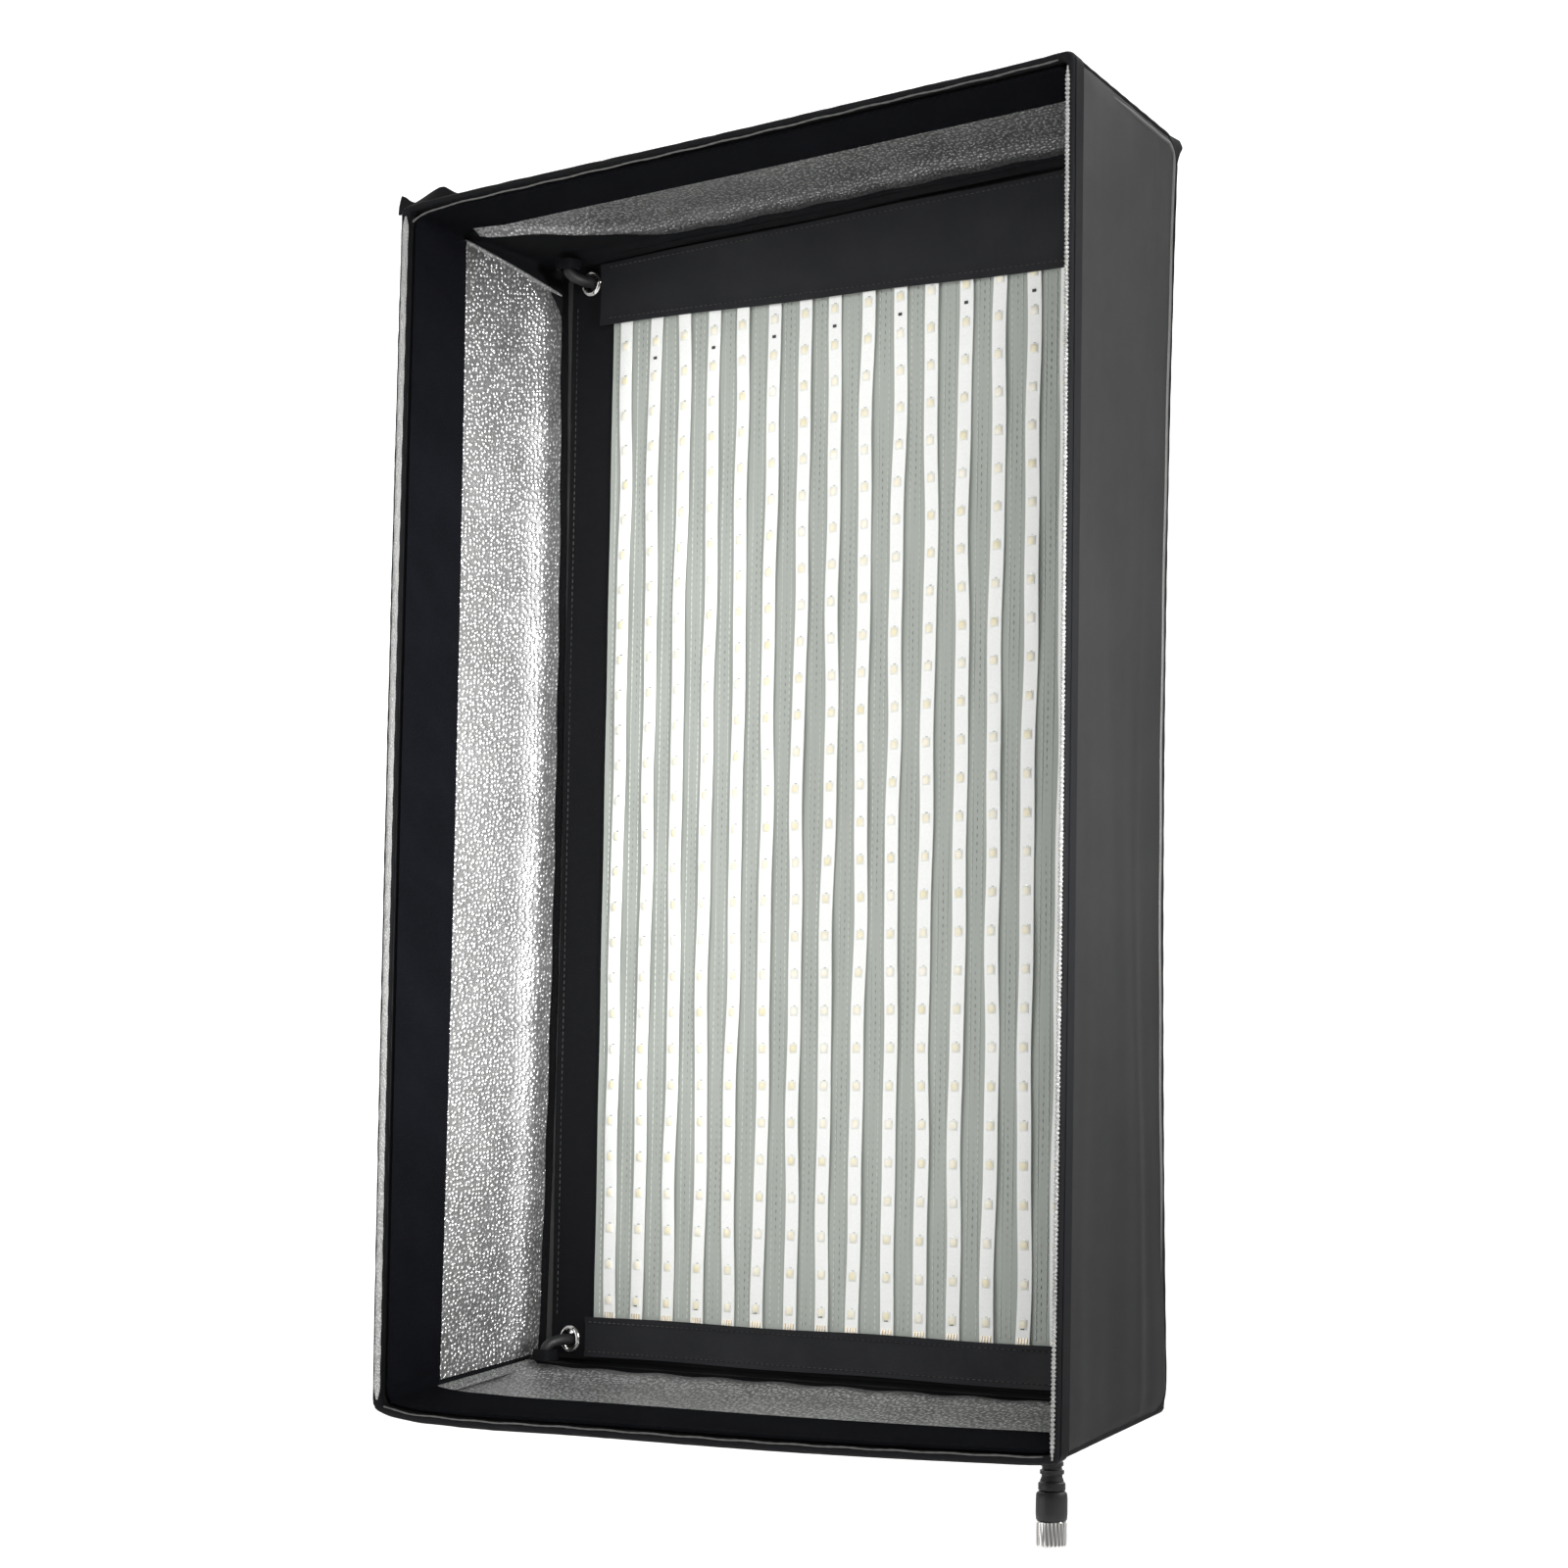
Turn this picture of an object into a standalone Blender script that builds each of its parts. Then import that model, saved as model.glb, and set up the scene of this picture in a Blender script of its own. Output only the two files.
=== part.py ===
"""Shallow fabric softbox on a flexible LED mat, with its sprung X-bracket and tilt head.

Metres, +Z up. The open front faces -Y. The origin is the centre of the mouth of the
stand socket, and the tilt axis lies straight above it.
"""
import math

import bmesh
import bpy
from mathutils import Matrix, Vector

# ---------------------------------------------------------------- driving dimensions
FRONT_W = 0.434        # shell, outside, at the open front
FRONT_H = 0.620
BACK_W = 0.408         # shell, outside, at the back
BACK_H = 0.592
DEPTH = 0.102
FRONT_Y = -0.245       # plane of the shell's front edge
CENTRE_Z = 0.095       # height of the shell's centre
PIVOT_Z = 0.085        # height of the tilt axis over the socket mouth
GAP = 0.0003           # left between touching pieces

# shell: layers, measured inwards from the outside
NYLON_T = 0.0016
LINING_OUT = NYLON_T + GAP
LINING_IN = 0.0031
LOOP_IN = 0.0033
BINDING_BACK = 0.0040  # how far the front edge binding reaches back
LOOP_BACK = 0.0350     # how far the loop band reaches back
FLANGE_SIDE = 0.024    # width of the rear flange at the sides
FLANGE_END = 0.009     # and at the top and bottom
POCKET_X = 0.1799      # middle of a corner pocket
POCKET_Y = FRONT_Y + 0.0861
POCKET_HOLE_R = 0.0044

# LED mat
MAT_W = 0.376
MAT_H = 0.584
MAT_FRONT = FRONT_Y + 0.0985
MAT_BACK = MAT_FRONT + 0.0020
FIELD_HALF_W = 0.156
FIELD_TOP = 0.2475     # over the shell's centre
FIELD_BOTTOM = -0.271
STRIP_COUNT = 15
STRIP_PITCH = 0.0207
STRIP_W = 0.0082
BAND_HALF_W = 0.160
EYELET_X = 0.174
EYELET_Z = 0.282
EYELET_HOLE_R = 0.0049
EYELET_R = 0.0075

# X-bracket
ROD_R = 0.0030
TIP_R = 0.00275
HUB_Y = FRONT_Y + 0.160          # plane of the rods at the hub
SOCKET_R = 0.0055
PLATE_T = 0.0025
PIN_RHO = 0.030                  # hub centre to a rod pin
PIN_R = 0.0022

# tilt head and stand receiver
TONGUE_HALF = 0.0055
CHEEK_IN = 0.0070
CHEEK_OUT = 0.0130
BOLT_R = 0.0040
BOLT_HOLE_R = 0.0043
SPIGOT_BORE_R = 0.0082
SOCKET_DEPTH = 0.042
BLOCK_X = 0.0155
BLOCK_Y = 0.0170
BLOCK_TOP = 0.050
KNOB_Z = 0.020

# lead of the LED mat
LEAD_R = 0.0030
LEAD_X = 0.092
LEAD_Y = -0.080
GLAND_Z = 0.040
BOOT_TOP = -0.2205

BACK_Y = FRONT_Y + DEPTH
ROUND = 28             # sides of an ordinary round piece
CORNERS = (("tl", -1, 1), ("tr", 1, 1), ("bl", -1, -1), ("br", 1, -1))

COLOURS = {            # colour, roughness, metallic
    "nylon": ((0.030, 0.031, 0.033), 0.62, 0.0),
    "lining": ((0.62, 0.63, 0.63), 0.38, 0.6),
    "loop": ((0.010, 0.010, 0.011), 0.95, 0.0),
    "binding": ((0.025, 0.025, 0.027), 0.55, 0.0),
    "webbing": ((0.018, 0.018, 0.020), 0.80, 0.0),
    "mat_cloth": ((0.014, 0.014, 0.016), 0.85, 0.0),
    "field_cloth": ((0.42, 0.45, 0.42), 0.60, 0.0),
    "strip": ((0.82, 0.83, 0.80), 0.45, 0.0),
    "nickel": ((0.74, 0.73, 0.71), 0.22, 1.0),
    "rod": ((0.016, 0.016, 0.017), 0.40, 0.0),
    "bracket": ((0.020, 0.020, 0.021), 0.45, 0.3),
    "steel": ((0.55, 0.55, 0.56), 0.30, 1.0),
    "plastic": ((0.020, 0.020, 0.021), 0.55, 0.0),
    "washer": ((0.30, 0.30, 0.28), 0.60, 0.0),
    "cable": ((0.014, 0.014, 0.015), 0.60, 0.0),
}


# ---------------------------------------------------------------- helpers
def clear_scene():
    for item in list(bpy.data.objects):
        bpy.data.objects.remove(item, do_unlink=True)


def paint(item, finish):
    """Gives a piece its own material in one of the named finishes."""
    colour, roughness, metallic = COLOURS[finish]
    material = bpy.data.materials.new(item.name)
    material.use_nodes = True
    shader = material.node_tree.nodes["Principled BSDF"]
    shader.inputs["Base Color"].default_value = (*colour, 1.0)
    shader.inputs["Roughness"].default_value = roughness
    shader.inputs["Metallic"].default_value = metallic
    item.data.materials.clear()
    item.data.materials.append(material)


def piece(name, bm, finish=None, smooth=False):
    """Turns a bmesh into a named object with its faces pointing out."""
    bmesh.ops.recalc_face_normals(bm, faces=bm.faces)
    mesh = bpy.data.meshes.new(name)
    bm.to_mesh(mesh)
    bm.free()
    if smooth:
        mesh.shade_smooth()
        mesh.set_sharp_from_angle(angle=math.radians(35))
    item = bpy.data.objects.new(name, mesh)
    bpy.context.collection.objects.link(item)
    if finish:
        paint(item, finish)
    return item


def hexahedron(near, far):
    """A solid between two quads, given as four points each in the same order."""
    bm = bmesh.new()
    a = [bm.verts.new(p) for p in near]
    b = [bm.verts.new(p) for p in far]
    bm.faces.new(a)
    bm.faces.new(b)
    for i in range(4):
        j = (i + 1) % 4
        bm.faces.new((a[i], a[j], b[j], b[i]))
    return bm


def block(low, high):
    """An axis-aligned box between two corners."""
    (x0, y0, z0), (x1, y1, z1) = low, high
    near = [(x0, y0, z0), (x1, y0, z0), (x1, y0, z1), (x0, y0, z1)]
    far = [(x0, y1, z0), (x1, y1, z0), (x1, y1, z1), (x0, y1, z1)]
    return hexahedron(near, far)


def prism(outline, axis, low, high):
    """Extrudes a closed outline. Axis Y takes (x, z) points, axis X takes (y, z) points."""
    def place(a, b, depth):
        return (a, depth, b) if axis == "Y" else (depth, a, b)
    bm = bmesh.new()
    face = bm.faces.new([bm.verts.new(place(a, b, low)) for a, b in outline])
    extruded = bmesh.ops.extrude_face_region(bm, geom=[face])
    moved = [v for v in extruded["geom"] if isinstance(v, bmesh.types.BMVert)]
    bmesh.ops.translate(bm, verts=moved, vec=Vector(place(0.0, 0.0, high - low)))
    return bm


def lathe(profile, axis, centre, sides=ROUND):
    """Turns (radius, height) points about an axis; a radius of 0 closes an end."""
    turn = {"X": Matrix.Rotation(math.pi / 2, 4, "Y"),
            "Y": Matrix.Rotation(-math.pi / 2, 4, "X"),
            "Z": Matrix.Identity(4)}[axis]
    bm = bmesh.new()
    rings = []
    for radius, height in profile:
        if radius == 0.0:
            rings.append([bm.verts.new((0.0, 0.0, height))])
            continue
        rings.append([bm.verts.new((radius * math.cos(2 * math.pi * k / sides),
                                    radius * math.sin(2 * math.pi * k / sides), height))
                      for k in range(sides)])
    open_ended = profile[0][0] == 0.0
    pairs = zip(rings, rings[1:]) if open_ended else zip(rings, rings[1:] + rings[:1])
    for low, high in pairs:
        for k in range(sides):
            n = (k + 1) % sides
            corner = [low[k % len(low)], low[n % len(low)],
                      high[n % len(high)], high[k % len(high)]]
            bm.faces.new(list(dict.fromkeys(corner)))
    bmesh.ops.transform(bm, matrix=Matrix.Translation(centre) @ turn, verts=bm.verts)
    return bm


def rod_shape(radius, low, high):
    """Lathe profile of a plain solid cylinder."""
    return [(0.0, low), (radius, low), (radius, high), (0.0, high)]


def cutter(name, bm):
    """A guide shape that only serves a Boolean."""
    item = piece(name, bm)
    item.hide_render = True
    item.display_type = "WIRE"
    return item


def combine(item, other, operation):
    """Adds or cuts one shape with the exact solver."""
    step = item.modifiers.new(other.name, "BOOLEAN")
    step.operation = operation
    step.solver = "EXACT"
    step.object = other


def soften(item, width, segments=2):
    """Rounds the hard edges of a piece."""
    bevel = item.modifiers.new("rounded_edges", "BEVEL")
    bevel.width = width
    bevel.segments = segments
    bevel.limit_method = "ANGLE"
    bevel.angle_limit = math.radians(40)


def smooth_path(points, steps):
    """Catmull-Rom curve through the points, with an even number of steps per span."""
    pts = [Vector(p) for p in points]
    pts = [2 * pts[0] - pts[1]] + pts + [2 * pts[-1] - pts[-2]]
    out = []
    for a, b, c, d in zip(pts, pts[1:], pts[2:], pts[3:]):
        for k in range(steps):
            t = k / steps
            out.append(0.5 * (2 * b + (c - a) * t + (2 * a - 5 * b + 4 * c - d) * t ** 2
                              + (3 * b - a - 3 * c + d) * t ** 3))
    return out + [pts[-2]]


def bent_bar(name, points, radius, finish, resolution=3):
    """A round bar or cable along a path, with flat ends."""
    curve = bpy.data.curves.new(name, "CURVE")
    curve.dimensions = "3D"
    curve.bevel_depth = radius
    curve.bevel_resolution = resolution
    curve.use_fill_caps = True
    spline = curve.splines.new("POLY")
    spline.points.add(len(points) - 1)
    for target, source in zip(spline.points, points):
        target.co = (*source, 1.0)
    item = bpy.data.objects.new(name, curve)
    bpy.context.collection.objects.link(item)
    paint(item, finish)
    return item


# ---------------------------------------------------------------- shell
def half_size(y, inset):
    """Half width and half height of the tapering shell at a depth, moved inwards."""
    t = (y - FRONT_Y) / DEPTH
    width = FRONT_W + (BACK_W - FRONT_W) * t
    height = FRONT_H + (BACK_H - FRONT_H) * t
    return width / 2 - inset, height / 2 - inset


def wall_panel(name, side, y_low, y_high, inset_out, inset_in, finish):
    """One of the four tapering walls, mitred at its ends."""
    rows = []
    for y in (y_low, y_high):
        for inset in (inset_out, inset_in):
            half_w, half_h = half_size(y, inset)
            if side in ("left", "right"):
                sign = 1 if side == "right" else -1
                ends = [(sign * half_w, y, CENTRE_Z + s * (half_h - GAP)) for s in (-1, 1)]
            else:
                sign = 1 if side == "top" else -1
                ends = [(s * (half_w - GAP), y, CENTRE_Z + sign * half_h) for s in (-1, 1)]
            rows.append(ends)
    near = [rows[0][0], rows[0][1], rows[1][1], rows[1][0]]
    far = [rows[2][0], rows[2][1], rows[3][1], rows[3][0]]
    return piece(name, hexahedron(near, far), finish)


def wall_ring(name, y_low, y_high, inset_out, inset_in, finish, end_inset=None):
    """A rectangular ring that follows the shell's taper, with its own width at the ends."""
    bm = bmesh.new()
    loops = []
    for y, inset in ((y_low, inset_out), (y_low, inset_in),
                     (y_high, inset_in), (y_high, inset_out)):
        half_w, half_h = half_size(y, inset)
        if end_inset and inset == inset_in:
            half_h = half_size(y, end_inset)[1]
        loops.append([bm.verts.new((a * half_w, y, CENTRE_Z + b * half_h))
                      for a, b in ((-1, -1), (1, -1), (1, 1), (-1, 1))])
    for low, high in zip(loops, loops[1:] + loops[:1]):
        for k in range(4):
            n = (k + 1) % 4
            bm.faces.new((low[k], low[n], high[n], high[k]))
    return piece(name, bm, finish)


def make_shell():
    panel_front = FRONT_Y + BINDING_BACK + GAP
    for side in ("left", "right", "top", "bottom"):
        wall_panel(f"shell_{side}_panel", side, panel_front, BACK_Y, 0.0, NYLON_T, "nylon")
        wall_panel(f"shell_{side}_lining", side, FRONT_Y + LOOP_BACK + GAP, BACK_Y - GAP,
                   LINING_OUT, LINING_IN, "lining")
    wall_ring("front_loop_band", panel_front, FRONT_Y + LOOP_BACK, LINING_OUT, LOOP_IN, "loop")
    binding = wall_ring("front_edge_binding", FRONT_Y - 0.0025, FRONT_Y + BINDING_BACK,
                        -0.0012, 0.0042, "binding")
    soften(binding, 0.0012)
    wall_ring("rear_flange", BACK_Y + GAP, BACK_Y + GAP + NYLON_T, 0.0, FLANGE_SIDE, "nylon",
              FLANGE_END)


def make_corner_pockets():
    """Webbing pockets on the top and bottom walls that take the ends of the rods."""
    for tag, sx, sz in CORNERS:
        low = (0.1710, FRONT_Y + 0.078, 0.2870)
        high = (0.1890, FRONT_Y + 0.094, 0.2932)
        xs = sorted((sx * low[0], sx * high[0]))
        zs = sorted((CENTRE_Z + sz * low[2], CENTRE_Z + sz * high[2]))
        pocket = piece(f"corner_pocket_{tag}",
                       block((xs[0], low[1], zs[0]), (xs[1], high[1], zs[1])), "webbing")
        mouth = sz * (low[2] - 0.002)
        bottom = sz * (high[2] - 0.0012)
        hole = lathe(rod_shape(POCKET_HOLE_R, min(mouth, bottom), max(mouth, bottom)), "Z",
                     (sx * POCKET_X, POCKET_Y, CENTRE_Z), 20)
        combine(pocket, cutter(f"cut_pocket_{tag}", hole), "DIFFERENCE")


# ---------------------------------------------------------------- LED mat
def strip_comb():
    """Outline of the LED strips, joined at their lower ends by the feed tape."""
    bus_low = CENTRE_Z + FIELD_BOTTOM - 0.013
    bus_high = bus_low + 0.007
    top = CENTRE_Z + FIELD_TOP + 0.0065
    start = -(STRIP_COUNT - 1) / 2 * STRIP_PITCH
    outline = []
    for k in range(STRIP_COUNT):
        centre = start + k * STRIP_PITCH
        left, right = centre - STRIP_W / 2, centre + STRIP_W / 2
        outline += [(left, bus_high), (left, top), (right, top), (right, bus_high)]
    outline += [(outline[-1][0], bus_low), (outline[0][0], bus_low)]
    return outline


def make_mat():
    half_w, half_h = MAT_W / 2, MAT_H / 2
    base = piece("mat_base_cloth", block((-half_w, MAT_FRONT, CENTRE_Z - half_h),
                                         (half_w, MAT_BACK, CENTRE_Z + half_h)), "mat_cloth")
    holes = bmesh.new()
    middle = (MAT_FRONT + MAT_BACK) / 2
    for _, sx, sz in CORNERS:
        place = Matrix.Translation((sx * EYELET_X, middle, CENTRE_Z + sz * EYELET_Z))
        bmesh.ops.create_cone(holes, cap_ends=True, segments=24, radius1=0.0056,
                              radius2=0.0056, depth=0.006,
                              matrix=place @ Matrix.Rotation(math.pi / 2, 4, "X"))
    combine(base, cutter("cut_mat_holes", holes), "DIFFERENCE")

    field_back = MAT_FRONT - GAP
    field_front = field_back - 0.0008
    piece("mat_field_cloth",
          block((-FIELD_HALF_W, field_front, CENTRE_Z + FIELD_BOTTOM - 0.013),
                (FIELD_HALF_W, field_back, CENTRE_Z + FIELD_TOP + 0.0085)), "field_cloth")
    strip_back = field_front - GAP
    strip_front = strip_back - 0.0010
    piece("led_strips", prism(strip_comb(), "Y", strip_front, strip_back), "strip")
    band_back = strip_front - GAP
    band_front = band_back - 0.0012
    for name, low, high in (("mat_header_band", FIELD_TOP, half_h - 0.002),
                            ("mat_lower_band", -half_h + 0.002, FIELD_BOTTOM)):
        piece(name, block((-BAND_HALF_W, band_front, CENTRE_Z + low),
                          (BAND_HALF_W, band_back, CENTRE_Z + high)), "mat_cloth")

    flange = 0.0012
    profile = [(EYELET_HOLE_R, -GAP - flange), (EYELET_R, -GAP - flange), (EYELET_R, -GAP),
               (0.0053, -GAP), (0.0053, 0.0020 + GAP), (EYELET_R, 0.0020 + GAP),
               (EYELET_R, 0.0020 + GAP + flange), (EYELET_HOLE_R, 0.0020 + GAP + flange)]
    for tag, sx, sz in CORNERS:
        piece(f"eyelet_{tag}", lathe(profile, "Y", (sx * EYELET_X, MAT_FRONT,
                                                    CENTRE_Z + sz * EYELET_Z), 20),
              "nickel", smooth=True)


# ---------------------------------------------------------------- X-bracket
REACH = math.hypot(EYELET_X, EYELET_Z)   # hub centre to an eyelet, seen from the front
ALONG = (EYELET_X / REACH, EYELET_Z / REACH)


def on_diagonal(rho, y, sx, sz):
    """A point at a distance from the hub towards one corner."""
    return (sx * ALONG[0] * rho, y, CENTRE_Z + sz * ALONG[1] * rho)


def make_rods():
    """Sprung rods bowing from the hub to the corners, and their bent plastic tips."""
    rod_start, socket_end, rod_end = 0.036, 0.076, 0.3165
    sag = 0.0465
    for tag, sx, sz in CORNERS:
        bowed = [on_diagonal(rod_start, HUB_Y, sx, sz)]
        for k in range(19):
            s = k / 18
            bowed.append(on_diagonal(socket_end + (rod_end - socket_end) * s,
                                     HUB_Y - sag * s * s, sx, sz))
        bent_bar(f"rod_{tag}", bowed, ROD_R, "rod", 2)
        end_y = HUB_Y - sag
        route = [on_diagonal(rod_end + 0.0005, end_y - 0.0002, sx, sz),
                 on_diagonal(0.3235, end_y - 0.0030, sx, sz),
                 on_diagonal(0.3290, end_y - 0.0080, sx, sz),
                 on_diagonal(REACH, FRONT_Y + 0.0995, sx, sz),
                 (sx * 0.1750, FRONT_Y + 0.0940, CENTRE_Z + sz * 0.2822),
                 (sx * 0.1770, FRONT_Y + 0.0892, CENTRE_Z + sz * 0.2834),
                 (sx * 0.1789, FRONT_Y + 0.0866, CENTRE_Z + sz * 0.2856),
                 (sx * 0.1798, FRONT_Y + 0.0860, CENTRE_Z + sz * 0.2880),
                 (sx * 0.1800, FRONT_Y + 0.0860, CENTRE_Z + sz * 0.2912)]
        bent_bar(f"rod_tip_{tag}", smooth_path(route, 2), TIP_R, "plastic", 2)


def plate_outline():
    """A round plate with four soft lobes under the rods."""
    lobe_angle = math.atan2(ALONG[1], ALONG[0])
    lobes = (lobe_angle, math.pi - lobe_angle, math.pi + lobe_angle, 2 * math.pi - lobe_angle)
    outline = []
    for k in range(48):
        angle = 2 * math.pi * k / 48
        radius = 0.024
        for lobe in lobes:
            turn = (angle - lobe + math.pi) % (2 * math.pi) - math.pi
            radius += 0.017 * math.exp(-(turn / 0.30) ** 2)
        outline.append((radius * math.cos(angle), CENTRE_Z + radius * math.sin(angle)))
    return outline


def hub_holes(y_low, y_high, centre_r):
    """The four pin holes and the middle hole of the hub."""
    bm = bmesh.new()
    depth = y_high - y_low
    middle = (y_low + y_high) / 2
    spots = [(on_diagonal(PIN_RHO, middle, sx, sz), PIN_R + GAP) for _, sx, sz in CORNERS]
    for place, radius in spots + [((0.0, middle, CENTRE_Z), centre_r)]:
        bmesh.ops.create_cone(bm, cap_ends=True, segments=16, radius1=radius, radius2=radius,
                              depth=depth, matrix=Matrix.Translation(place)
                              @ Matrix.Rotation(math.pi / 2, 4, "X"))
    return bm


def make_hub():
    front_high = HUB_Y - SOCKET_R - GAP
    back_low = HUB_Y + SOCKET_R + GAP
    drill = cutter("cut_hub_holes", hub_holes(HUB_Y - 0.03, HUB_Y + 0.03, 0.0033))
    for name, low in (("hub_front_plate", front_high - PLATE_T), ("hub_back_plate", back_low)):
        plate = piece(name, prism(plate_outline(), "Y", low, low + PLATE_T), "bracket")
        combine(plate, drill, "DIFFERENCE")

    head = 0.0015
    face = SOCKET_R + GAP + PLATE_T + GAP
    pin = [(0.0, -face - head), (0.0040, -face - head), (0.0040, -face), (PIN_R, -face),
           (PIN_R, face), (0.0040, face), (0.0040, face + head), (0.0, face + head)]
    for tag, sx, sz in CORNERS:
        piece(f"hub_pin_{tag}", lathe(pin, "Y", on_diagonal(PIN_RHO, HUB_Y, sx, sz), 16),
              "steel", smooth=True)

    bore = ROD_R + 0.0004
    sleeve = [(0.0, 0.020), (SOCKET_R, 0.020), (SOCKET_R, 0.070), (0.0046, 0.078),
              (bore, 0.078), (bore, 0.0355), (0.0, 0.0355)]
    for tag, sx, sz in CORNERS:
        bm = lathe(sleeve, "Z", (0.0, 0.0, 0.0), 20)
        towards = Vector((sx * ALONG[0], 0.0, sz * ALONG[1]))
        turn = Vector((0, 0, 1)).rotation_difference(towards).to_matrix().to_4x4()
        move = Matrix.Translation((0.0, HUB_Y, CENTRE_Z))
        bmesh.ops.transform(bm, matrix=move @ turn, verts=bm.verts)
        socket = piece(f"rod_socket_{tag}", bm, "plastic", smooth=True)
        combine(socket, drill, "DIFFERENCE")

    bolt_face = HUB_Y - face
    bolt = [(0.0, bolt_face - 0.004), (0.0050, bolt_face - 0.004), (0.0050, bolt_face),
            (0.0030, bolt_face), (0.0030, HUB_Y + 0.030), (0.0, HUB_Y + 0.030)]
    piece("hub_bolt", lathe(bolt, "Y", (0.0, 0.0, CENTRE_Z), 20), "steel", smooth=True)


# ---------------------------------------------------------------- tilt head
def arc(centre, radius, start, end, steps):
    """Points of an arc, angles in degrees."""
    return [(centre[0] + radius * math.cos(math.radians(start + (end - start) * k / steps)),
             centre[1] + radius * math.sin(math.radians(start + (end - start) * k / steps)))
            for k in range(steps + 1)]


def make_tilt_head():
    """Fork that carries the hub on its neck and turns on the pivot bolt."""
    side = [(-0.0345, PIVOT_Z - 0.0125)] + arc((0.0, PIVOT_Z), 0.0165, -90, 90, 18)
    side.append((-0.0345, PIVOT_Z + 0.0225))
    head = piece("tilt_head", prism(side, "X", -CHEEK_OUT, CHEEK_OUT), "bracket")
    slot = block((-CHEEK_IN, -0.0215, PIVOT_Z - 0.03), (CHEEK_IN, 0.03, PIVOT_Z + 0.03))
    combine(head, cutter("cut_fork_slot", slot), "DIFFERENCE")
    neck_start = HUB_Y + SOCKET_R + GAP + PLATE_T + GAP
    neck = lathe(rod_shape(0.0085, neck_start, -0.030), "Y", (0.0, 0.0, CENTRE_Z), ROUND)
    combine(head, cutter("add_neck", neck), "UNION")
    bore = lathe(rod_shape(0.0033, neck_start - 0.01, HUB_Y + 0.032), "Y",
                 (0.0, 0.0, CENTRE_Z), 20)
    combine(head, cutter("cut_neck_bore", bore), "DIFFERENCE")
    hole = lathe(rod_shape(BOLT_HOLE_R, -0.02, 0.02), "X", (0.0, 0.0, PIVOT_Z), 24)
    combine(head, cutter("cut_pivot_hole", hole), "DIFFERENCE")


def make_receiver():
    """Socket for a stand spigot, with the tongue that the fork turns on."""
    receiver = piece("stand_receiver", block((-BLOCK_X, -BLOCK_Y, 0.0),
                                             (BLOCK_X, BLOCK_Y, BLOCK_TOP)), "bracket")
    soften(receiver, 0.003, 2)
    side = [(-0.0150, BLOCK_TOP - 0.004), (0.0150, BLOCK_TOP - 0.004)]
    side += arc((0.0, PIVOT_Z), 0.0150, 0, 180, 18)
    tongue = prism(side, "X", -TONGUE_HALF, TONGUE_HALF)
    combine(receiver, cutter("add_tongue", tongue), "UNION")
    bore = lathe(rod_shape(SPIGOT_BORE_R, -0.01, SOCKET_DEPTH), "Z", (0.0, 0.0, 0.0), 32)
    combine(receiver, cutter("cut_spigot_bore", bore), "DIFFERENCE")
    hole = lathe(rod_shape(BOLT_HOLE_R, -0.02, 0.02), "X", (0.0, 0.0, PIVOT_Z), 24)
    combine(receiver, cutter("cut_tongue_hole", hole), "DIFFERENCE")
    thread = lathe(rod_shape(BOLT_HOLE_R, 0.002, 0.03), "Y", (0.0, 0.0, KNOB_Z), 24)
    combine(receiver, cutter("cut_stud_hole", thread), "DIFFERENCE")


def make_pivot():
    """Bolt and friction washers of the tilt axis."""
    centre = (0.0, 0.0, PIVOT_Z)
    bolt = [(0.0, -CHEEK_OUT - GAP - 0.0055), (0.0065, -CHEEK_OUT - GAP - 0.0055),
            (0.0075, -CHEEK_OUT - GAP - 0.0045), (0.0075, -CHEEK_OUT - GAP),
            (BOLT_R, -CHEEK_OUT - GAP), (BOLT_R, 0.0255), (0.0034, 0.0262), (0.0, 0.0262)]
    piece("pivot_bolt", lathe(bolt, "X", centre, 24), "steel", smooth=True)
    low, high = TONGUE_HALF + GAP, CHEEK_IN - GAP
    for name, sign in (("friction_washer_left", -1), ("friction_washer_right", 1)):
        ends = sorted((sign * low, sign * high))
        ring = [(BOLT_HOLE_R, ends[0]), (0.0135, ends[0]), (0.0135, ends[1]),
                (BOLT_HOLE_R, ends[1])]
        piece(name, lathe(ring, "X", centre, ROUND), "washer", smooth=True)


def make_tilt_lever():
    """Clamping lever on the threaded end of the pivot bolt; its origin is on the axis."""
    start = CHEEK_OUT + GAP
    hub = [(0.0, 0.0268), (BOLT_HOLE_R, 0.0268), (BOLT_HOLE_R, start), (0.0080, start),
           (0.0090, start + 0.0015), (0.0090, 0.0285), (0.0070, 0.0305), (0.0, 0.0305)]
    lever = piece("tilt_lever", lathe(hub, "X", (0.0, 0.0, 0.0), ROUND), "plastic",
                  smooth=True)
    arm_profile = [(0.0, 0.0058), (0.0050, 0.0058), (0.0056, 0.020), (0.0042, 0.044),
                   (0.0050, 0.054), (0.0048, 0.060), (0.0030, 0.0635), (0.0, 0.0645)]
    bm = lathe(arm_profile, "Z", (0.0, 0.0, 0.0), 20)
    droop = math.radians(-35)
    towards = Vector((0.16, math.cos(droop), math.sin(droop))).normalized()
    turn = Vector((0, 0, 1)).rotation_difference(towards).to_matrix().to_4x4()
    seat = Matrix.Translation((0.0232, 0.0, 0.0))
    bmesh.ops.transform(bm, matrix=seat @ turn, verts=bm.verts)
    arm = cutter("add_lever_arm", bm)
    combine(lever, arm, "UNION")
    for item in (lever, arm):
        item.location = (0.0, 0.0, PIVOT_Z)


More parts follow.
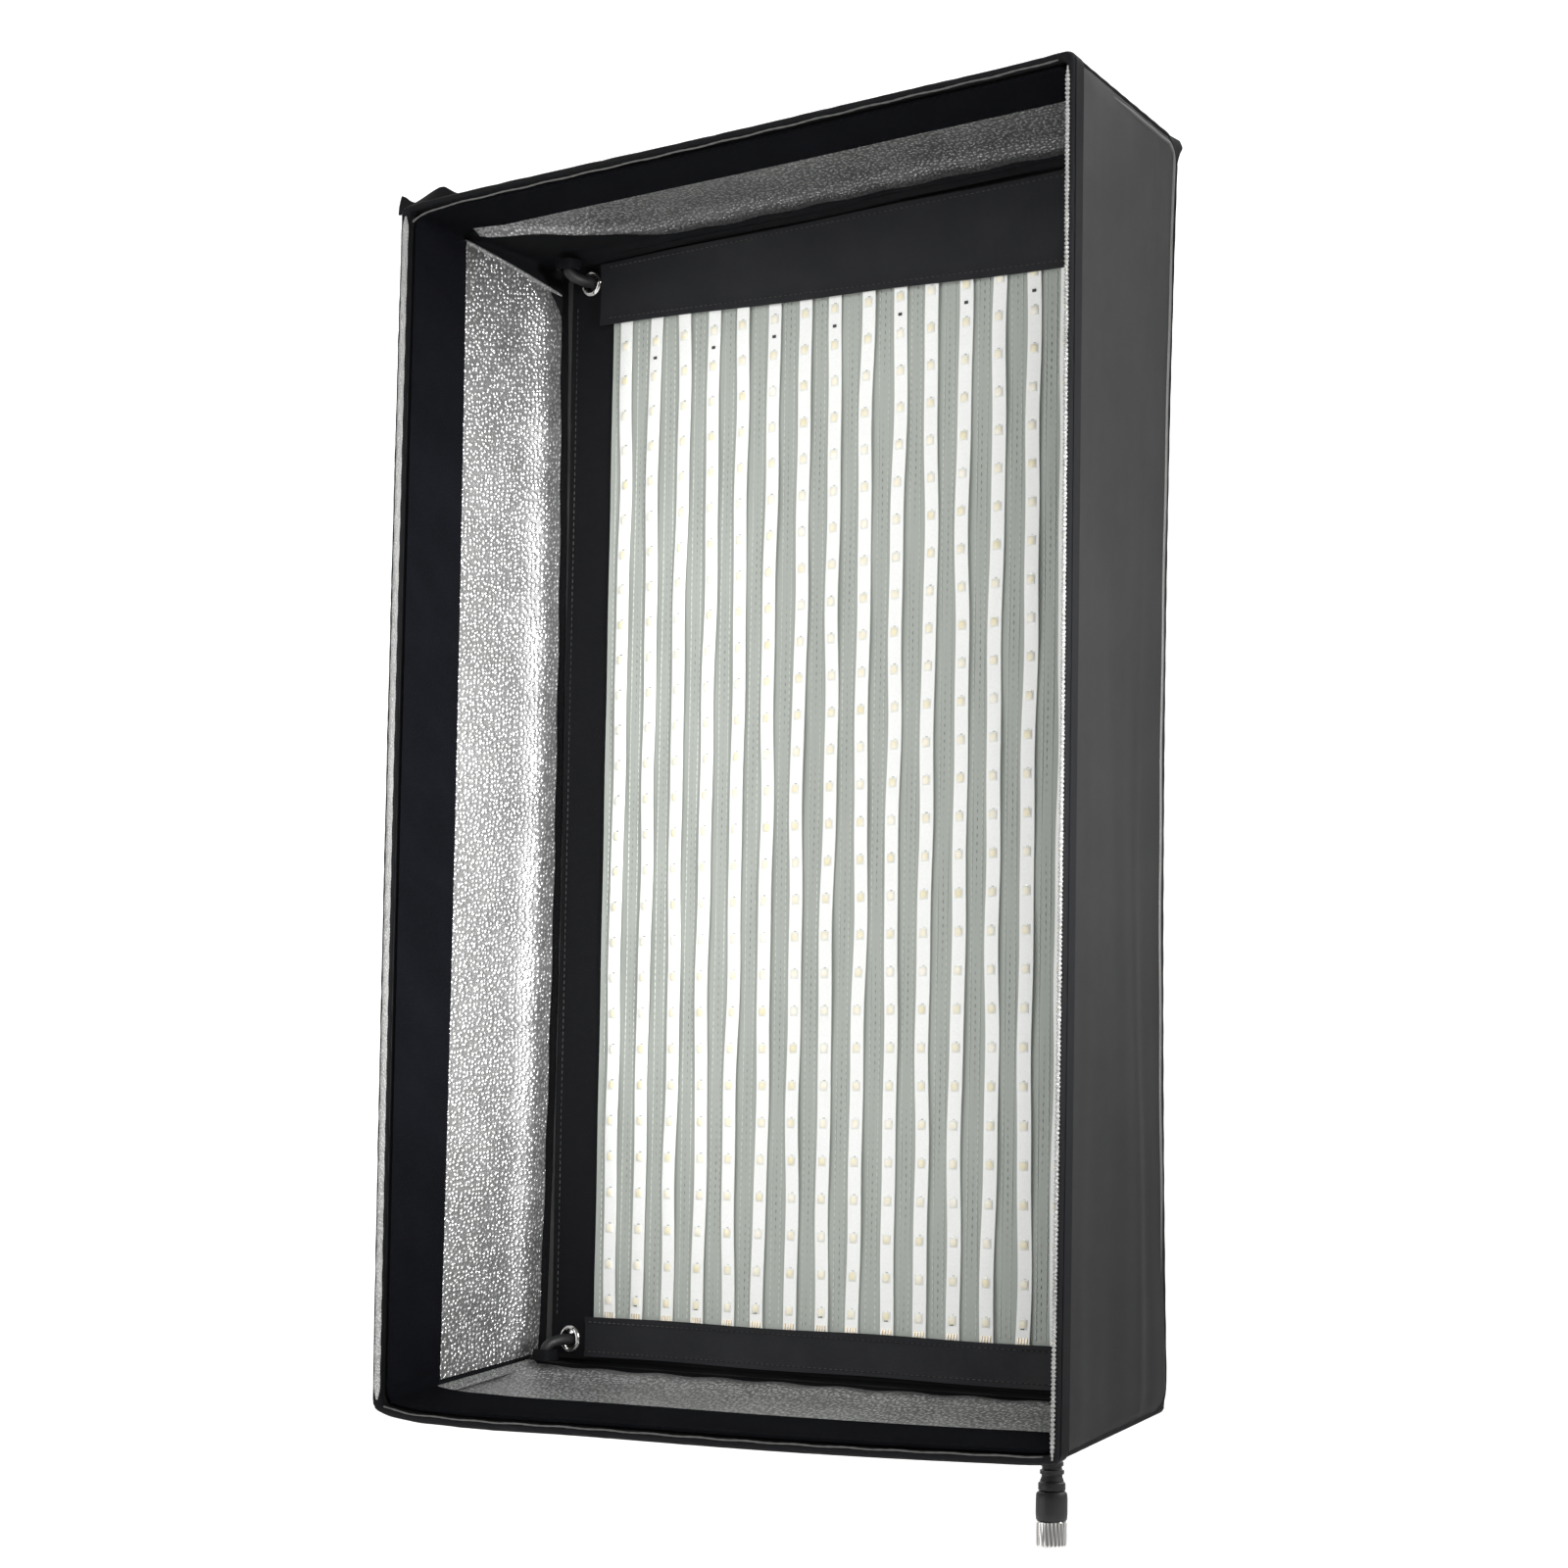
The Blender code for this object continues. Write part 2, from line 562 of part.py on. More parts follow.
def make_socket_knob():
    """Screw that grips the spigot: a plain stud and a lobed knob on one axis."""
    stud = [(0.0, 0.0087), (0.0034, 0.0087), (0.0039, 0.0097), (0.0039, 0.0385), (0.0, 0.0385)]
    piece("knob_stud", lathe(stud, "Y", (0.0, 0.0, KNOB_Z), 20), "steel", smooth=True)
    lobes = []
    for k in range(40):
        angle = 2 * math.pi * k / 40
        radius = 0.0125 + 0.0018 * math.cos(5 * angle)
        lobes.append((radius * math.cos(angle), KNOB_Z + radius * math.sin(angle)))
    knob = piece("socket_knob", prism(lobes, "Y", 0.0275, 0.0425), "plastic")
    soften(knob, 0.0015, 1)
    boss = lathe(rod_shape(0.0085, 0.0215, 0.0300), "Y", (0.0, 0.0, KNOB_Z), ROUND)
    combine(knob, cutter("add_knob_boss", boss), "UNION")
    bore = lathe(rod_shape(0.0042, 0.0200, 0.0390), "Y", (0.0, 0.0, KNOB_Z), 20)
    combine(knob, cutter("cut_knob_bore", bore), "DIFFERENCE")


# ---------------------------------------------------------------- lead and plug
def make_lead():
    """Short lead out of the mat's back, hanging to its plug."""
    gland = [(0.0, MAT_BACK + GAP), (0.0110, MAT_BACK + GAP), (0.0110, MAT_BACK + 0.0025),
             (0.0062, MAT_BACK + 0.0040), (0.0040, MAT_BACK + 0.0250),
             (0.0, MAT_BACK + 0.0250)]
    piece("lead_gland", lathe(gland, "Y", (LEAD_X, 0.0, GLAND_Z), 20), "cable", smooth=True)
    start = MAT_BACK + 0.0250 + GAP
    route = [(LEAD_X, start, GLAND_Z),
             (LEAD_X, start + 0.012, GLAND_Z - 0.0006),
             (LEAD_X + 0.0004, start + 0.023, GLAND_Z - 0.0060),
             (LEAD_X + 0.0010, start + 0.0325, GLAND_Z - 0.0190),
             (LEAD_X + 0.0016, start + 0.0385, GLAND_Z - 0.0400),
             (LEAD_X + 0.0018, start + 0.0405, GLAND_Z - 0.0700),
             (LEAD_X + 0.0014, LEAD_Y + 0.0005, GLAND_Z - 0.1100),
             (LEAD_X + 0.0007, LEAD_Y + 0.0003, GLAND_Z - 0.1500),
             (LEAD_X + 0.0002, LEAD_Y + 0.0001, GLAND_Z - 0.2000),
             (LEAD_X, LEAD_Y, GLAND_Z - 0.2400),
             (LEAD_X, LEAD_Y, BOOT_TOP + GAP)]
    bent_bar("lead_cable", smooth_path(route, 3), LEAD_R, "cable", 2)

    boot = [(0.0, 0.0), (0.0042, 0.0)]
    for k in range(5):
        top = -0.003 - 0.0040 * k
        radius = 0.0043 + 0.00028 * k
        boot += [(radius + 0.0006, top), (radius + 0.0006, top - 0.0024),
                 (radius - 0.0002, top - 0.0026), (radius - 0.0002, top - 0.0038)]
    boot += [(0.0059, -0.0245), (0.0, -0.0245)]
    stack = (("plug_boot", boot, "cable"),
             ("plug_collar", [(0.0, -0.0248), (0.0060, -0.0248), (0.0068, -0.0258),
                              (0.0068, -0.0290), (0.0, -0.0290)], "plastic"),
             ("plug_barrel", [(0.0, -0.0293), (0.0066, -0.0293), (0.0076, -0.0305),
                              (0.0079, -0.0370), (0.0076, -0.0435), (0.0, -0.0435)],
              "plastic"),
             ("plug_ring", [(0.0, -0.0438), (0.0075, -0.0438), (0.0077, -0.0450),
                            (0.0077, -0.0560), (0.0072, -0.0566), (0.0060, -0.0566),
                            (0.0060, -0.0510), (0.0, -0.0510)], "nickel"))
    for name, profile, finish in stack:
        piece(name, lathe(profile, "Z", (LEAD_X, LEAD_Y, BOOT_TOP), 20), finish, smooth=True)


def main():
    clear_scene()
    make_shell()
    make_corner_pockets()
    make_mat()
    make_rods()
    make_hub()
    make_tilt_head()
    make_receiver()
    make_pivot()
    make_tilt_lever()
    make_socket_knob()
    make_lead()


main()
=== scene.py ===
"""Strip softbox: a shallow tapered fabric box on a flexible light mat, with its sprung
X-bracket, tilt head and short lead. Metres, +Z up; the open front faces -Y.
"""
import math

import bpy
import numpy as np
from bpy.props import FloatProperty, FloatVectorProperty, IntProperty, PointerProperty
from mathutils import Matrix, Vector


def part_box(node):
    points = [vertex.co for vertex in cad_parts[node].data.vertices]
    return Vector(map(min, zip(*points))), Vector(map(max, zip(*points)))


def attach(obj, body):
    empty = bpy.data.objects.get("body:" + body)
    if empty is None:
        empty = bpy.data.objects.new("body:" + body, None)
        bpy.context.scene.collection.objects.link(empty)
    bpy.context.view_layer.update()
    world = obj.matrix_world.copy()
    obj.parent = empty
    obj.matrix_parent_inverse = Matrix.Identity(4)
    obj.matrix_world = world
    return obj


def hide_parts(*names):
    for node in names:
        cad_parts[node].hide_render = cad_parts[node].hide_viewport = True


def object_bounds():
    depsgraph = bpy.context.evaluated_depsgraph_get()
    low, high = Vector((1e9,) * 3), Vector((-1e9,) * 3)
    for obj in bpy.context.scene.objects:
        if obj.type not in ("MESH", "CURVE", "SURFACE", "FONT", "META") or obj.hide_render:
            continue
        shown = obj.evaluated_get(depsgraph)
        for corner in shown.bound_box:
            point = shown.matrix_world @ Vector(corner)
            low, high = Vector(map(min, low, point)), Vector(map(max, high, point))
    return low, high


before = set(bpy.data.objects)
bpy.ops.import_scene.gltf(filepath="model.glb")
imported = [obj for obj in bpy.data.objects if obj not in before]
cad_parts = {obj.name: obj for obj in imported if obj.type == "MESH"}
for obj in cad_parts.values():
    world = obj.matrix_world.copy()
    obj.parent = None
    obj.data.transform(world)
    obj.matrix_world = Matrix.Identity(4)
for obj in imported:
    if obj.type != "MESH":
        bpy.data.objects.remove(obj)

bl_info = {
    "name": "Strip Softbox",
    "version": (1, 0, 0),
    "blender": (4, 5, 0),
    "location": "View3D > Sidebar > Softbox",
    "description": "Dresses the packed strip softbox with its cloth, light mat and hardware",
    "category": "Object",
}

CAD_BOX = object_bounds()
CORNERS = (("tl", -1, 1), ("tr", 1, 1), ("bl", -1, -1), ("br", 1, -1))
WALLS = {"left": (-1, 0), "right": (1, 0), "top": (0, 1), "bottom": (0, -1)}

# Half the distances between the mat's eyelets, and from the middle to one of them.
EYELET_X, EYELET_Z = 0.174, 0.282
EYELET_REACH = math.hypot(EYELET_X, EYELET_Z)
MAT_HALF_WIDTH, MAT_HALF_HEIGHT = 0.188, 0.292
# Depths of the mat's layers, each at the middle of its thickness.
MAT_Y, FIELD_Y, STRIP_Y, BAND_Y = -0.1455, -0.1473, -0.1483, -0.1497
STRIP_FACE = 0.000225      # from a strip's middle to its face, half its thickness
# Where the lead leaves its gland, and where its plug hangs.
LEAD_X, LEAD_Y, LEAD_Z = 0.092, -0.1192, 0.040
PLUG_Y, PLUG_TOP = -0.080, -0.2205
SQUARE = np.array([[-1, -1], [1, -1], [1, 1], [-1, 1]])

# Curves over the width u, from -1 at the left to 1 at the right: knots, then values.
# How far the top's front edge rises, how far the bottom's hangs, and how much of the
# top lining's depth is cut away.
TOP_RISE = ((-1, -0.95, -0.86, -0.78, -0.5, 0, 0.5, 0.93, 1),
            (-0.5, -0.2, 0.0, 0.05, 0.0, -0.25, -0.1, 0.1, 0.3))
LOW_SAG = ((-1, -0.96, -0.9, -0.75, -0.35, 0.3, 0.8, 0.95, 1),
           (0.54, 0.74, 0.91, 1.0, 0.90, 0.74, 0.46, 0.34, 0.26))
LINING_CUT = ((-1.0, -0.91, -0.81, -0.68, -0.575, -0.48, -0.38, -0.2, 0.2, 0.6, 0.8, 0.87,
               0.94, 1.0),
              (0.97, 0.90, 0.74, 0.41, 0.14, 0.03, 0.0, 0.0, 0.0, 0.0, 0.0, 0.03, 0.35, 0.80))


# ---------------------------------------------------------------- sizes and colours
def length(name, text, default):
    """A size in metres."""
    return FloatProperty(name=name, description=text, default=default,
                         unit="LENGTH", subtype="DISTANCE", precision=4)


def colour(name, text, default):
    """A linear colour."""
    return FloatVectorProperty(name=name, description=text, default=default,
                               size=3, min=0.0, max=1.0, subtype="COLOR")


class SoftboxSizes(bpy.types.PropertyGroup):
    """Sizes of the cloth parts and of the light mat."""

    front_half_width: length("Front half width", "Half the width over the open front", 0.217)
    front_half_height: length("Front half height", "Half the height over the open front", 0.310)
    back_half_width: length("Back half width", "Half the width over the back", 0.204)
    back_half_height: length("Back half height", "Half the height over the back", 0.296)
    front_y: length("Front", "Depth at which the cloth walls start", -0.245)
    depth: length("Depth", "How deep the cloth walls are", 0.102)
    centre_z: length("Centre", "Height of the box's centre", 0.095)
    side_pull: length("Side pull", "How far a side wall draws in halfway up its back edge", 0.0050)
    top_rise: length("Corner rise", "How far the top's front corner folds stand up", 0.0022)
    bottom_sag: length("Bottom sag", "How far the bottom's front edge hangs", 0.0115)
    seam_round: length("Seam rounding", "Rounding of a side wall's back corners", 0.014)
    loop_side: length("Side band depth", "How far back the loop band reaches on the sides",
                      0.0362)
    loop_end: length("End band depth", "How far back it reaches at the top and bottom", 0.0310)
    strip_width: length("Strip width", "Width of one light strip", 0.0082)
    strip_pitch: length("Strip pitch", "From one light strip to the next", 0.0207)
    chip_pitch: length("Chip pitch", "From one light chip to the next", 0.01865)
    strip_count: IntProperty(name="Strips", description="Number of light strips",
                             default=15, min=1, max=40)
    chip_count: IntProperty(name="Chips", description="Light chips on each strip",
                            default=28, min=1, max=60)
    stitch_pitch: length("Stitch pitch", "From one stitch to the next", 0.0034)
    lead_length: length("Lead length", "Length of the lead from its gland to its plug", 0.290)
    lead_width: length("Lead thickness", "Diameter of the lead", 0.006)


class SoftboxColours(bpy.types.PropertyGroup):
    """Colours of the cloths, films and metals."""

    nylon: colour("Nylon", "Outer cloth", (0.0080, 0.0081, 0.0082))
    lining: colour("Lining", "Silver reflecting film", (0.90, 0.905, 0.90))
    loop: colour("Loop tape", "Velvety band inside the front edge", (0.0042, 0.0045, 0.0060))
    tape: colour("Edge tape", "Tape bound over the front edge", (0.0050, 0.0052, 0.0062))
    edging: colour("Silver edging", "Silver strip on the upright edges", (0.86, 0.86, 0.84))
    mat: colour("Mat cloth", "Black cloth round the light mat", (0.0042, 0.0045, 0.0056))
    field: colour("Field cloth", "Grey cloth under the light strips", (0.375, 0.402, 0.368))
    strip: colour("Strip", "White light strips", (0.90, 0.91, 0.885))
    phosphor: colour("Phosphor", "Yellow domes of the light chips", (0.80, 0.73, 0.50))
    thread: colour("Thread", "Dark sewing thread", (0.013, 0.013, 0.014))
    metal: colour("Nickel", "Plated eyelets and screws", (0.72, 0.71, 0.69))
    plastic: colour("Plastic", "Black moulded parts", (0.011, 0.011, 0.012))
    floor: colour("Floor", "Pale floor and backdrop", (0.90, 0.90, 0.90))


class SoftboxStage(bpy.types.PropertyGroup):
    """Camera and studio light."""

    lens: FloatProperty(name="Lens", description="Focal length on a 36 mm sensor",
                        default=81.0, min=10.0, unit="CAMERA")
    azimuth: FloatProperty(name="Azimuth", description="Turn of the camera from the front",
                           default=math.radians(40.856), subtype="ANGLE")
    elevation: FloatProperty(name="Elevation", description="Height angle of the camera",
                             default=math.radians(-4.078), subtype="ANGLE")
    roll: FloatProperty(name="Roll", description="Roll of the camera",
                        default=math.radians(0.957), subtype="ANGLE")
    distance: length("Distance", "From the camera to its target", 1.6499)
    target: FloatVectorProperty(name="Target", description="Point the camera looks at",
                                default=(0.0546, -0.245, 0.040), size=3, subtype="XYZ")
    stand_height: length("Stand height", "From the floor to the end of the lead", 0.45)
    key_power: FloatProperty(name="Key power", description="Power of the key light in watts",
                             default=33.0, min=0.0)
    side_power: FloatProperty(name="Side power", description="Power of the side light in watts",
                              default=150.0, min=0.0)
    rim_power: FloatProperty(name="Rim power", description="Power of the rim light in watts",
                             default=32.0, min=0.0)
    fill_power: FloatProperty(name="Fill power", description="Power of the fill light in watts",
                              default=22.0, min=0.0)
    backdrop_power: FloatProperty(name="Backdrop power", min=0.0, default=50.0,
                                  description="Power of each backdrop light in watts")
    sky: FloatProperty(name="Sky", description="Strength of the even light", default=0.21,
                       min=0.0)


# ---------------------------------------------------------------- surfaces from grids
def smooth_through(x, knots, values):
    """Cubic curve through the knots whose slope at each knot is the mean of its two
    neighbouring slopes, read at x."""
    knots, values = np.asarray(knots, float), np.asarray(values, float)
    slope = np.gradient(values, knots)
    x = np.clip(x, knots[0], knots[-1])
    k = np.clip(np.searchsorted(knots, x) - 1, 0, len(knots) - 2)
    h = knots[k + 1] - knots[k]
    t = (x - knots[k]) / h
    return ((2 * t**3 - 3 * t**2 + 1) * values[k] + (t**3 - 2 * t**2 + t) * h * slope[k]
            + (3 * t**2 - 2 * t**3) * values[k + 1] + (t**3 - t**2) * h * slope[k + 1])


def points_at(x, y, z):
    """Points from three coordinates, each a number or an array."""
    return np.stack(np.broadcast_arrays(x, y, z), axis=-1)


def bell(x, centre, width):
    """One smooth bump: e to the minus square of the distance over the width."""
    return np.exp(-(((x - centre) / width) ** 2))


def cell_corners(rows, cols, wrap_rows, wrap_cols):
    """Row and column of the four corners of every cell of a grid, in turning order."""
    i, j = np.meshgrid(np.arange(rows if wrap_rows else rows - 1),
                       np.arange(cols if wrap_cols else cols - 1), indexing="ij")
    i, j = i.ravel(), j.ravel()
    return (np.stack([i, i + 1, i + 1, i], axis=1), np.stack([j, j, j + 1, j + 1], axis=1))


def arc_lengths(grid, axis, wrap):
    """Distance walked along one direction of a grid, with one more row when it closes."""
    if wrap:
        first = np.take(grid, [0], axis=axis)
        grid = np.concatenate([grid, first], axis=axis)
    step = np.linalg.norm(np.diff(grid, axis=axis), axis=-1)
    pad = [(1, 0), (0, 0)] if axis == 0 else [(0, 0), (1, 0)]
    return np.cumsum(np.pad(step, pad), axis=axis)


def grid_uv(grid, wrap_rows, wrap_cols):
    """Surface coordinates in metres: the arc length along the rows and along the columns."""
    u = arc_lengths(grid, 0, wrap_rows)
    v = arc_lengths(grid, 1, wrap_cols)
    if wrap_cols:
        u = np.concatenate([u, u[:, :1]], axis=1)
    if wrap_rows:
        v = np.concatenate([v, v[:1]], axis=0)
    return np.stack([u, v], axis=-1)


def skin(grid, wrap=(False, False), ends=(False, False)):
    """A surface over a grid of points. wrap closes its rows or columns, and ends puts a
    fan of triangles round the middle of its first or last row."""
    rows, cols = grid.shape[:2]
    ci, cj = cell_corners(rows, cols, *wrap)
    uv = grid_uv(grid, *wrap)
    quads = (ci % rows) * cols + cj % cols
    quad_uv = uv[ci, cj]
    points = [grid.reshape(-1, 3)]
    tris, tri_uv = [], []
    count = rows * cols
    for which, row in zip(ends, (0, rows - 1)):
        if not which:
            continue
        points.append(grid[row].mean(axis=0)[None])
        ring = row * cols + np.arange(cols)
        following = np.roll(ring, -1)
        middle = np.full(cols, count)
        order = (middle, ring, following) if row == 0 else (middle, following, ring)
        tris.append(np.stack(order, axis=1))
        angle = np.arange(cols + 1) / cols * 2 * math.pi
        rim = 0.004 * np.stack([np.cos(angle), np.sin(angle)], axis=1)
        zero = np.zeros((cols, 2))
        tri_uv.append(np.stack([zero, rim[:-1], rim[1:]], axis=1))
        count += 1
    return [np.concatenate(points), quads, quad_uv,
            np.concatenate(tris) if tris else np.zeros((0, 3), int),
            np.concatenate(tri_uv) if tris else np.zeros((0, 3, 2))]


def normals_of(grid, wrap_rows=False):
    """Unit normals: the cross product of the grid's two directions."""
    if wrap_rows:
        along = np.roll(grid, -1, axis=0) - np.roll(grid, 1, axis=0)
    else:
        along = np.gradient(grid, axis=0)
    normal = np.cross(along, np.gradient(grid, axis=1))
    return normal / np.maximum(np.linalg.norm(normal, axis=-1, keepdims=True), 1e-12)


def cloth(grid, thickness, wrap_rows=False, keep=None):
    """A thin closed body: the grid moved half the thickness along its normals to each
    side, with a wall round every free edge. keep marks the cells that are not cut out."""
    rows, cols = grid.shape[:2]
    normal = normals_of(grid, wrap_rows)
    layers = np.stack([grid + normal * thickness / 2, grid - normal * thickness / 2])
    ci, cj = cell_corners(rows, cols, wrap_rows, False)
    shape = (rows if wrap_rows else rows - 1, cols - 1)
    keep = np.ones(shape, bool) if keep is None else keep
    whole = keep.ravel()
    ci, cj = ci[whole], cj[whole]
    front = (ci % rows) * cols + cj
    back = front[:, ::-1] + rows * cols
    uv = grid_uv(grid, wrap_rows, False)
    faces, maps = [front, back], [uv[ci, cj], uv[ci, cj][:, ::-1]]
    if wrap_rows:
        padded = np.concatenate([keep[-1:], keep, keep[:1]], axis=0)
    else:
        padded = np.pad(keep, [(1, 1), (0, 0)])
    padded = np.pad(padded, [(0, 0), (1, 1)])
    middle = padded[1:-1, 1:-1]
    sides = ((padded[1:-1, :-2], 0, 1), (padded[2:, 1:-1], 1, 2),
             (padded[1:-1, 2:], 2, 3), (padded[:-2, 1:-1], 3, 0))
    for neighbour, a, b in sides:
        free = (middle & ~neighbour).ravel()[whole]
        first, second = front[free, a], front[free, b]
        shift = rows * cols
        faces.append(np.stack([second, first, first + shift, second + shift], axis=1))
        edge = uv[ci[free], cj[free]]
        pair = (edge[:, b], edge[:, a], edge[:, a] + 0.001, edge[:, b] + 0.001)
        maps.append(np.stack(pair, axis=1))
    quads, quad_uv = np.concatenate(faces), np.concatenate(maps)
    used, flat = np.unique(quads, return_inverse=True)
    return [layers.reshape(-1, 3)[used], flat.reshape(-1, 4), quad_uv,
            np.zeros((0, 3), int), np.zeros((0, 3, 2))]


def gather(shapes):
    """Several shapes as one: their points, faces and surface coordinates in a row."""
    start = np.cumsum([0] + [len(s[0]) for s in shapes[:-1]])
    return [np.concatenate([s[0] for s in shapes]),
            np.concatenate([s[1] + k for s, k in zip(shapes, start)]),
            np.concatenate([s[2] for s in shapes]),
            np.concatenate([s[3] + k for s, k in zip(shapes, start)]),
            np.concatenate([s[4] for s in shapes])]


def repeat(shape, centres, frames, sizes=None):
    """One small shape at many places: each copy is turned by its 3 x 3 frame, whose
    columns are its own axes, scaled and then moved to its centre."""
    base, quads, quad_uv, tris, tri_uv = shape
    count, each = len(centres), len(base)
    sizes = np.ones((count, 3)) if sizes is None else sizes
    local = base[None] * sizes[:, None, :]
    points = np.einsum("nij,nbj->nbi", frames, local) + centres[:, None, :]
    shift = (np.arange(count) * each)[:, None, None]
    return [points.reshape(-1, 3), (quads[None] + shift).reshape(-1, 4),
            np.tile(quad_uv, (count, 1, 1)), (tris[None] + shift).reshape(-1, 3),
            np.tile(tri_uv, (count, 1, 1))]


def walk(points):
    """Directions along a path and two crosswise axes that turn as little as possible."""
    points = np.asarray(points, float)
    ahead = np.gradient(points, axis=0)
    ahead /= np.linalg.norm(ahead, axis=1, keepdims=True)
    across = np.empty_like(ahead)
    seed = np.array([1.0, 0, 0]) if abs(ahead[0][0]) < 0.8 else np.array([0, 0, 1.0])
    for k, forward in enumerate(ahead):
        seed = seed - forward * (seed @ forward)
        seed = seed / np.linalg.norm(seed)
        across[k] = seed
    return ahead, across, np.cross(ahead, across)


def tube(points, radius, sides=20):
    """Round bar along a path: a circle of the given radius carried along it, ends closed."""
    points = np.asarray(points, float)
    _, across, up = walk(points)
    angle = np.arange(sides) / sides * 2 * math.pi
    radius = np.broadcast_to(radius, len(points))[:, None, None]
    ring = (np.cos(angle)[None, :, None] * across[:, None, :]
            + np.sin(angle)[None, :, None] * up[:, None, :])
    return skin(points[:, None, :] + radius * ring, (False, True), (True, True))


def turned(profile, origin, axis, sides=48, lobes=0, lobe_depth=0.0, closed=False):
    """Lathe body: each profile row is a radius and a height along the axis. With lobes,
    the radius swells and shrinks that many times round the turn by the lobe depth, which
    is the profile's third column times lobe_depth."""
    profile = np.asarray(profile, float)
    axis = Vector(axis).normalized()
    side = Vector((1, 0, 0)) if abs(axis.x) < 0.8 else Vector((0, 0, 1))
    side = (side - axis * side.dot(axis)).normalized()
    other = axis.cross(side)
    angle = np.arange(sides) / sides * 2 * math.pi
    radius = profile[:, 0][:, None] * np.ones(sides)[None]
    if lobes:
        share = profile[:, 2][:, None] if profile.shape[1] > 2 else 1.0
        radius = radius + share * lobe_depth * np.cos(lobes * angle)[None]
    spoke = (np.cos(angle)[:, None] * np.array(side) + np.sin(angle)[:, None] * np.array(other))
    grid = (np.array(origin, float) + profile[:, 1][:, None, None] * np.array(axis)
            + radius[..., None] * spoke[None])
    return skin(grid, (closed, True), (not closed, not closed))


def build(name, shapes, smooth_angle=38.0):
    """Makes the mesh object, turns its faces outwards where it encloses a volume, and
    shades it smooth up to the given angle."""
    points, quads, quad_uv, tris, tri_uv = gather(shapes) if isinstance(shapes[0], list) \
        else shapes
    mesh = bpy.data.meshes.new(name)
    mesh.from_pydata(points.tolist(), [], quads.tolist() + tris.tolist())
    layer = mesh.uv_layers.new(name="Surface")
    flat = np.concatenate([quad_uv.reshape(-1, 2), tri_uv.reshape(-1, 2)]).astype(np.float32)
    layer.data.foreach_set("uv", flat.ravel())
    mesh.calc_loop_triangles()
    corner = np.empty(len(mesh.loop_triangles) * 3, dtype=np.int32)
    mesh.loop_triangles.foreach_get("vertices", corner)
    a, b, c = (points[corner.reshape(-1, 3)[:, k]] for k in range(3))
    if (a * np.cross(b, c)).sum() < 0:
        mesh.flip_normals()
    mesh.shade_smooth()
    mesh.set_sharp_from_angle(angle=math.radians(smooth_angle))
    item = bpy.data.objects.new(name, mesh)
    bpy.context.collection.objects.link(item)
    return item


def finish_piece(item, body, slot_name, material, *stands_for):
    """Gives a piece its body, its material and the nodes that it stands for, which it hides.
    slot_name is not used.
    """
    item.data.materials.clear()
    item.data.materials.append(material)
    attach(item, body)
    if stands_for:
        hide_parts(*stands_for)
    return item


def dress(node, material):
    """Puts a material on a carried-over node."""
    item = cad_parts[node]
    if not item.material_slots:
        item.data.materials.append(material)
    for place in item.material_slots:
        place.material = material


# ---------------------------------------------------------------- the sewn box
def half_sides(s, y, inset=0.0):
    """Half width and half height at a depth: both shrink in a straight line from the
    front edge to the back."""
    t = (np.asarray(y, float) - s.front_y) / s.depth
    return (s.front_half_width + (s.back_half_width - s.front_half_width) * t - inset,
            s.front_half_height + (s.back_half_height - s.front_half_height) * t - inset)


def drape(s, points):
    """Slack of the sewn box. Halfway up, a side draws inwards more and more towards the
    back, as 1 - w squared with w from -1 at the bottom to 1 at the top. The top's front
    edge rises at its corners and the bottom's hangs between them, by curves over the
    width. Each fades away from its wall with the sixth power of the distance out."""
    p = np.array(points, float)
    t = np.clip((p[..., 1] - s.front_y) / s.depth, -0.05, 1.03)
    hx, hz = half_sides(s, p[..., 1])
    u = np.clip(p[..., 0] / hx, -1, 1)
    w = np.clip((p[..., 2] - s.centre_z) / hz, -1, 1)
    pull = s.side_pull * t * (2 - t) - 0.0012 * (1 - t)
    p[..., 0] -= np.sign(u) * np.abs(u) ** 6 * pull * (1 - w**2)
    ahead = np.clip(1 - t, 0, 1)
    p[..., 2] += np.clip(w, 0, 1) ** 6 * s.top_rise * ahead * smooth_through(u, *TOP_RISE)
    p[..., 2] -= (np.clip(-w, 0, 1) ** 6 * s.bottom_sag * (0.12 + 0.88 * ahead)
                  * smooth_through(u, *LOW_SAG))
    return p


def creases(side, a, t):
    """Soft folds of a wall in metres: long ridges that run along it and wander a little,
    each a bell over the depth t at a place that swings with the distance a along it."""
    seed = {"left": 0.4, "right": 1.7, "top": 2.9, "bottom": 4.1}[side]
    out = 0.0
    for k, (place, width, rise) in enumerate(
            ((0.20, 0.06, 0.0003), (0.47, 0.08, -0.0005), (0.60, 0.06, 0.00035),
             (0.745, 0.030, 0.0004), (0.82, 0.05, -0.0004))):
        swing = 0.025 * np.sin(2.3 * a + seed + k) + 0.012 * np.sin(7.1 * a + 2 * seed + k)
        fade = 0.65 + 0.35 * np.sin(3.1 * a + seed * 3 + 1.3 * k)
        out = out + rise * fade * bell(t, place + swing, width)
    hem = 0.00035 / (1 + np.exp(-(t - 0.078) / 0.006)) - 0.0002
    waves = 0.0007 * np.sin(5.3 * a + 4 * t + seed) * np.sin(math.pi * np.clip(t, 0, 1))
    return out + hem + waves + 0.00015 * np.sin(23 * a + 9 * t + seed) * t


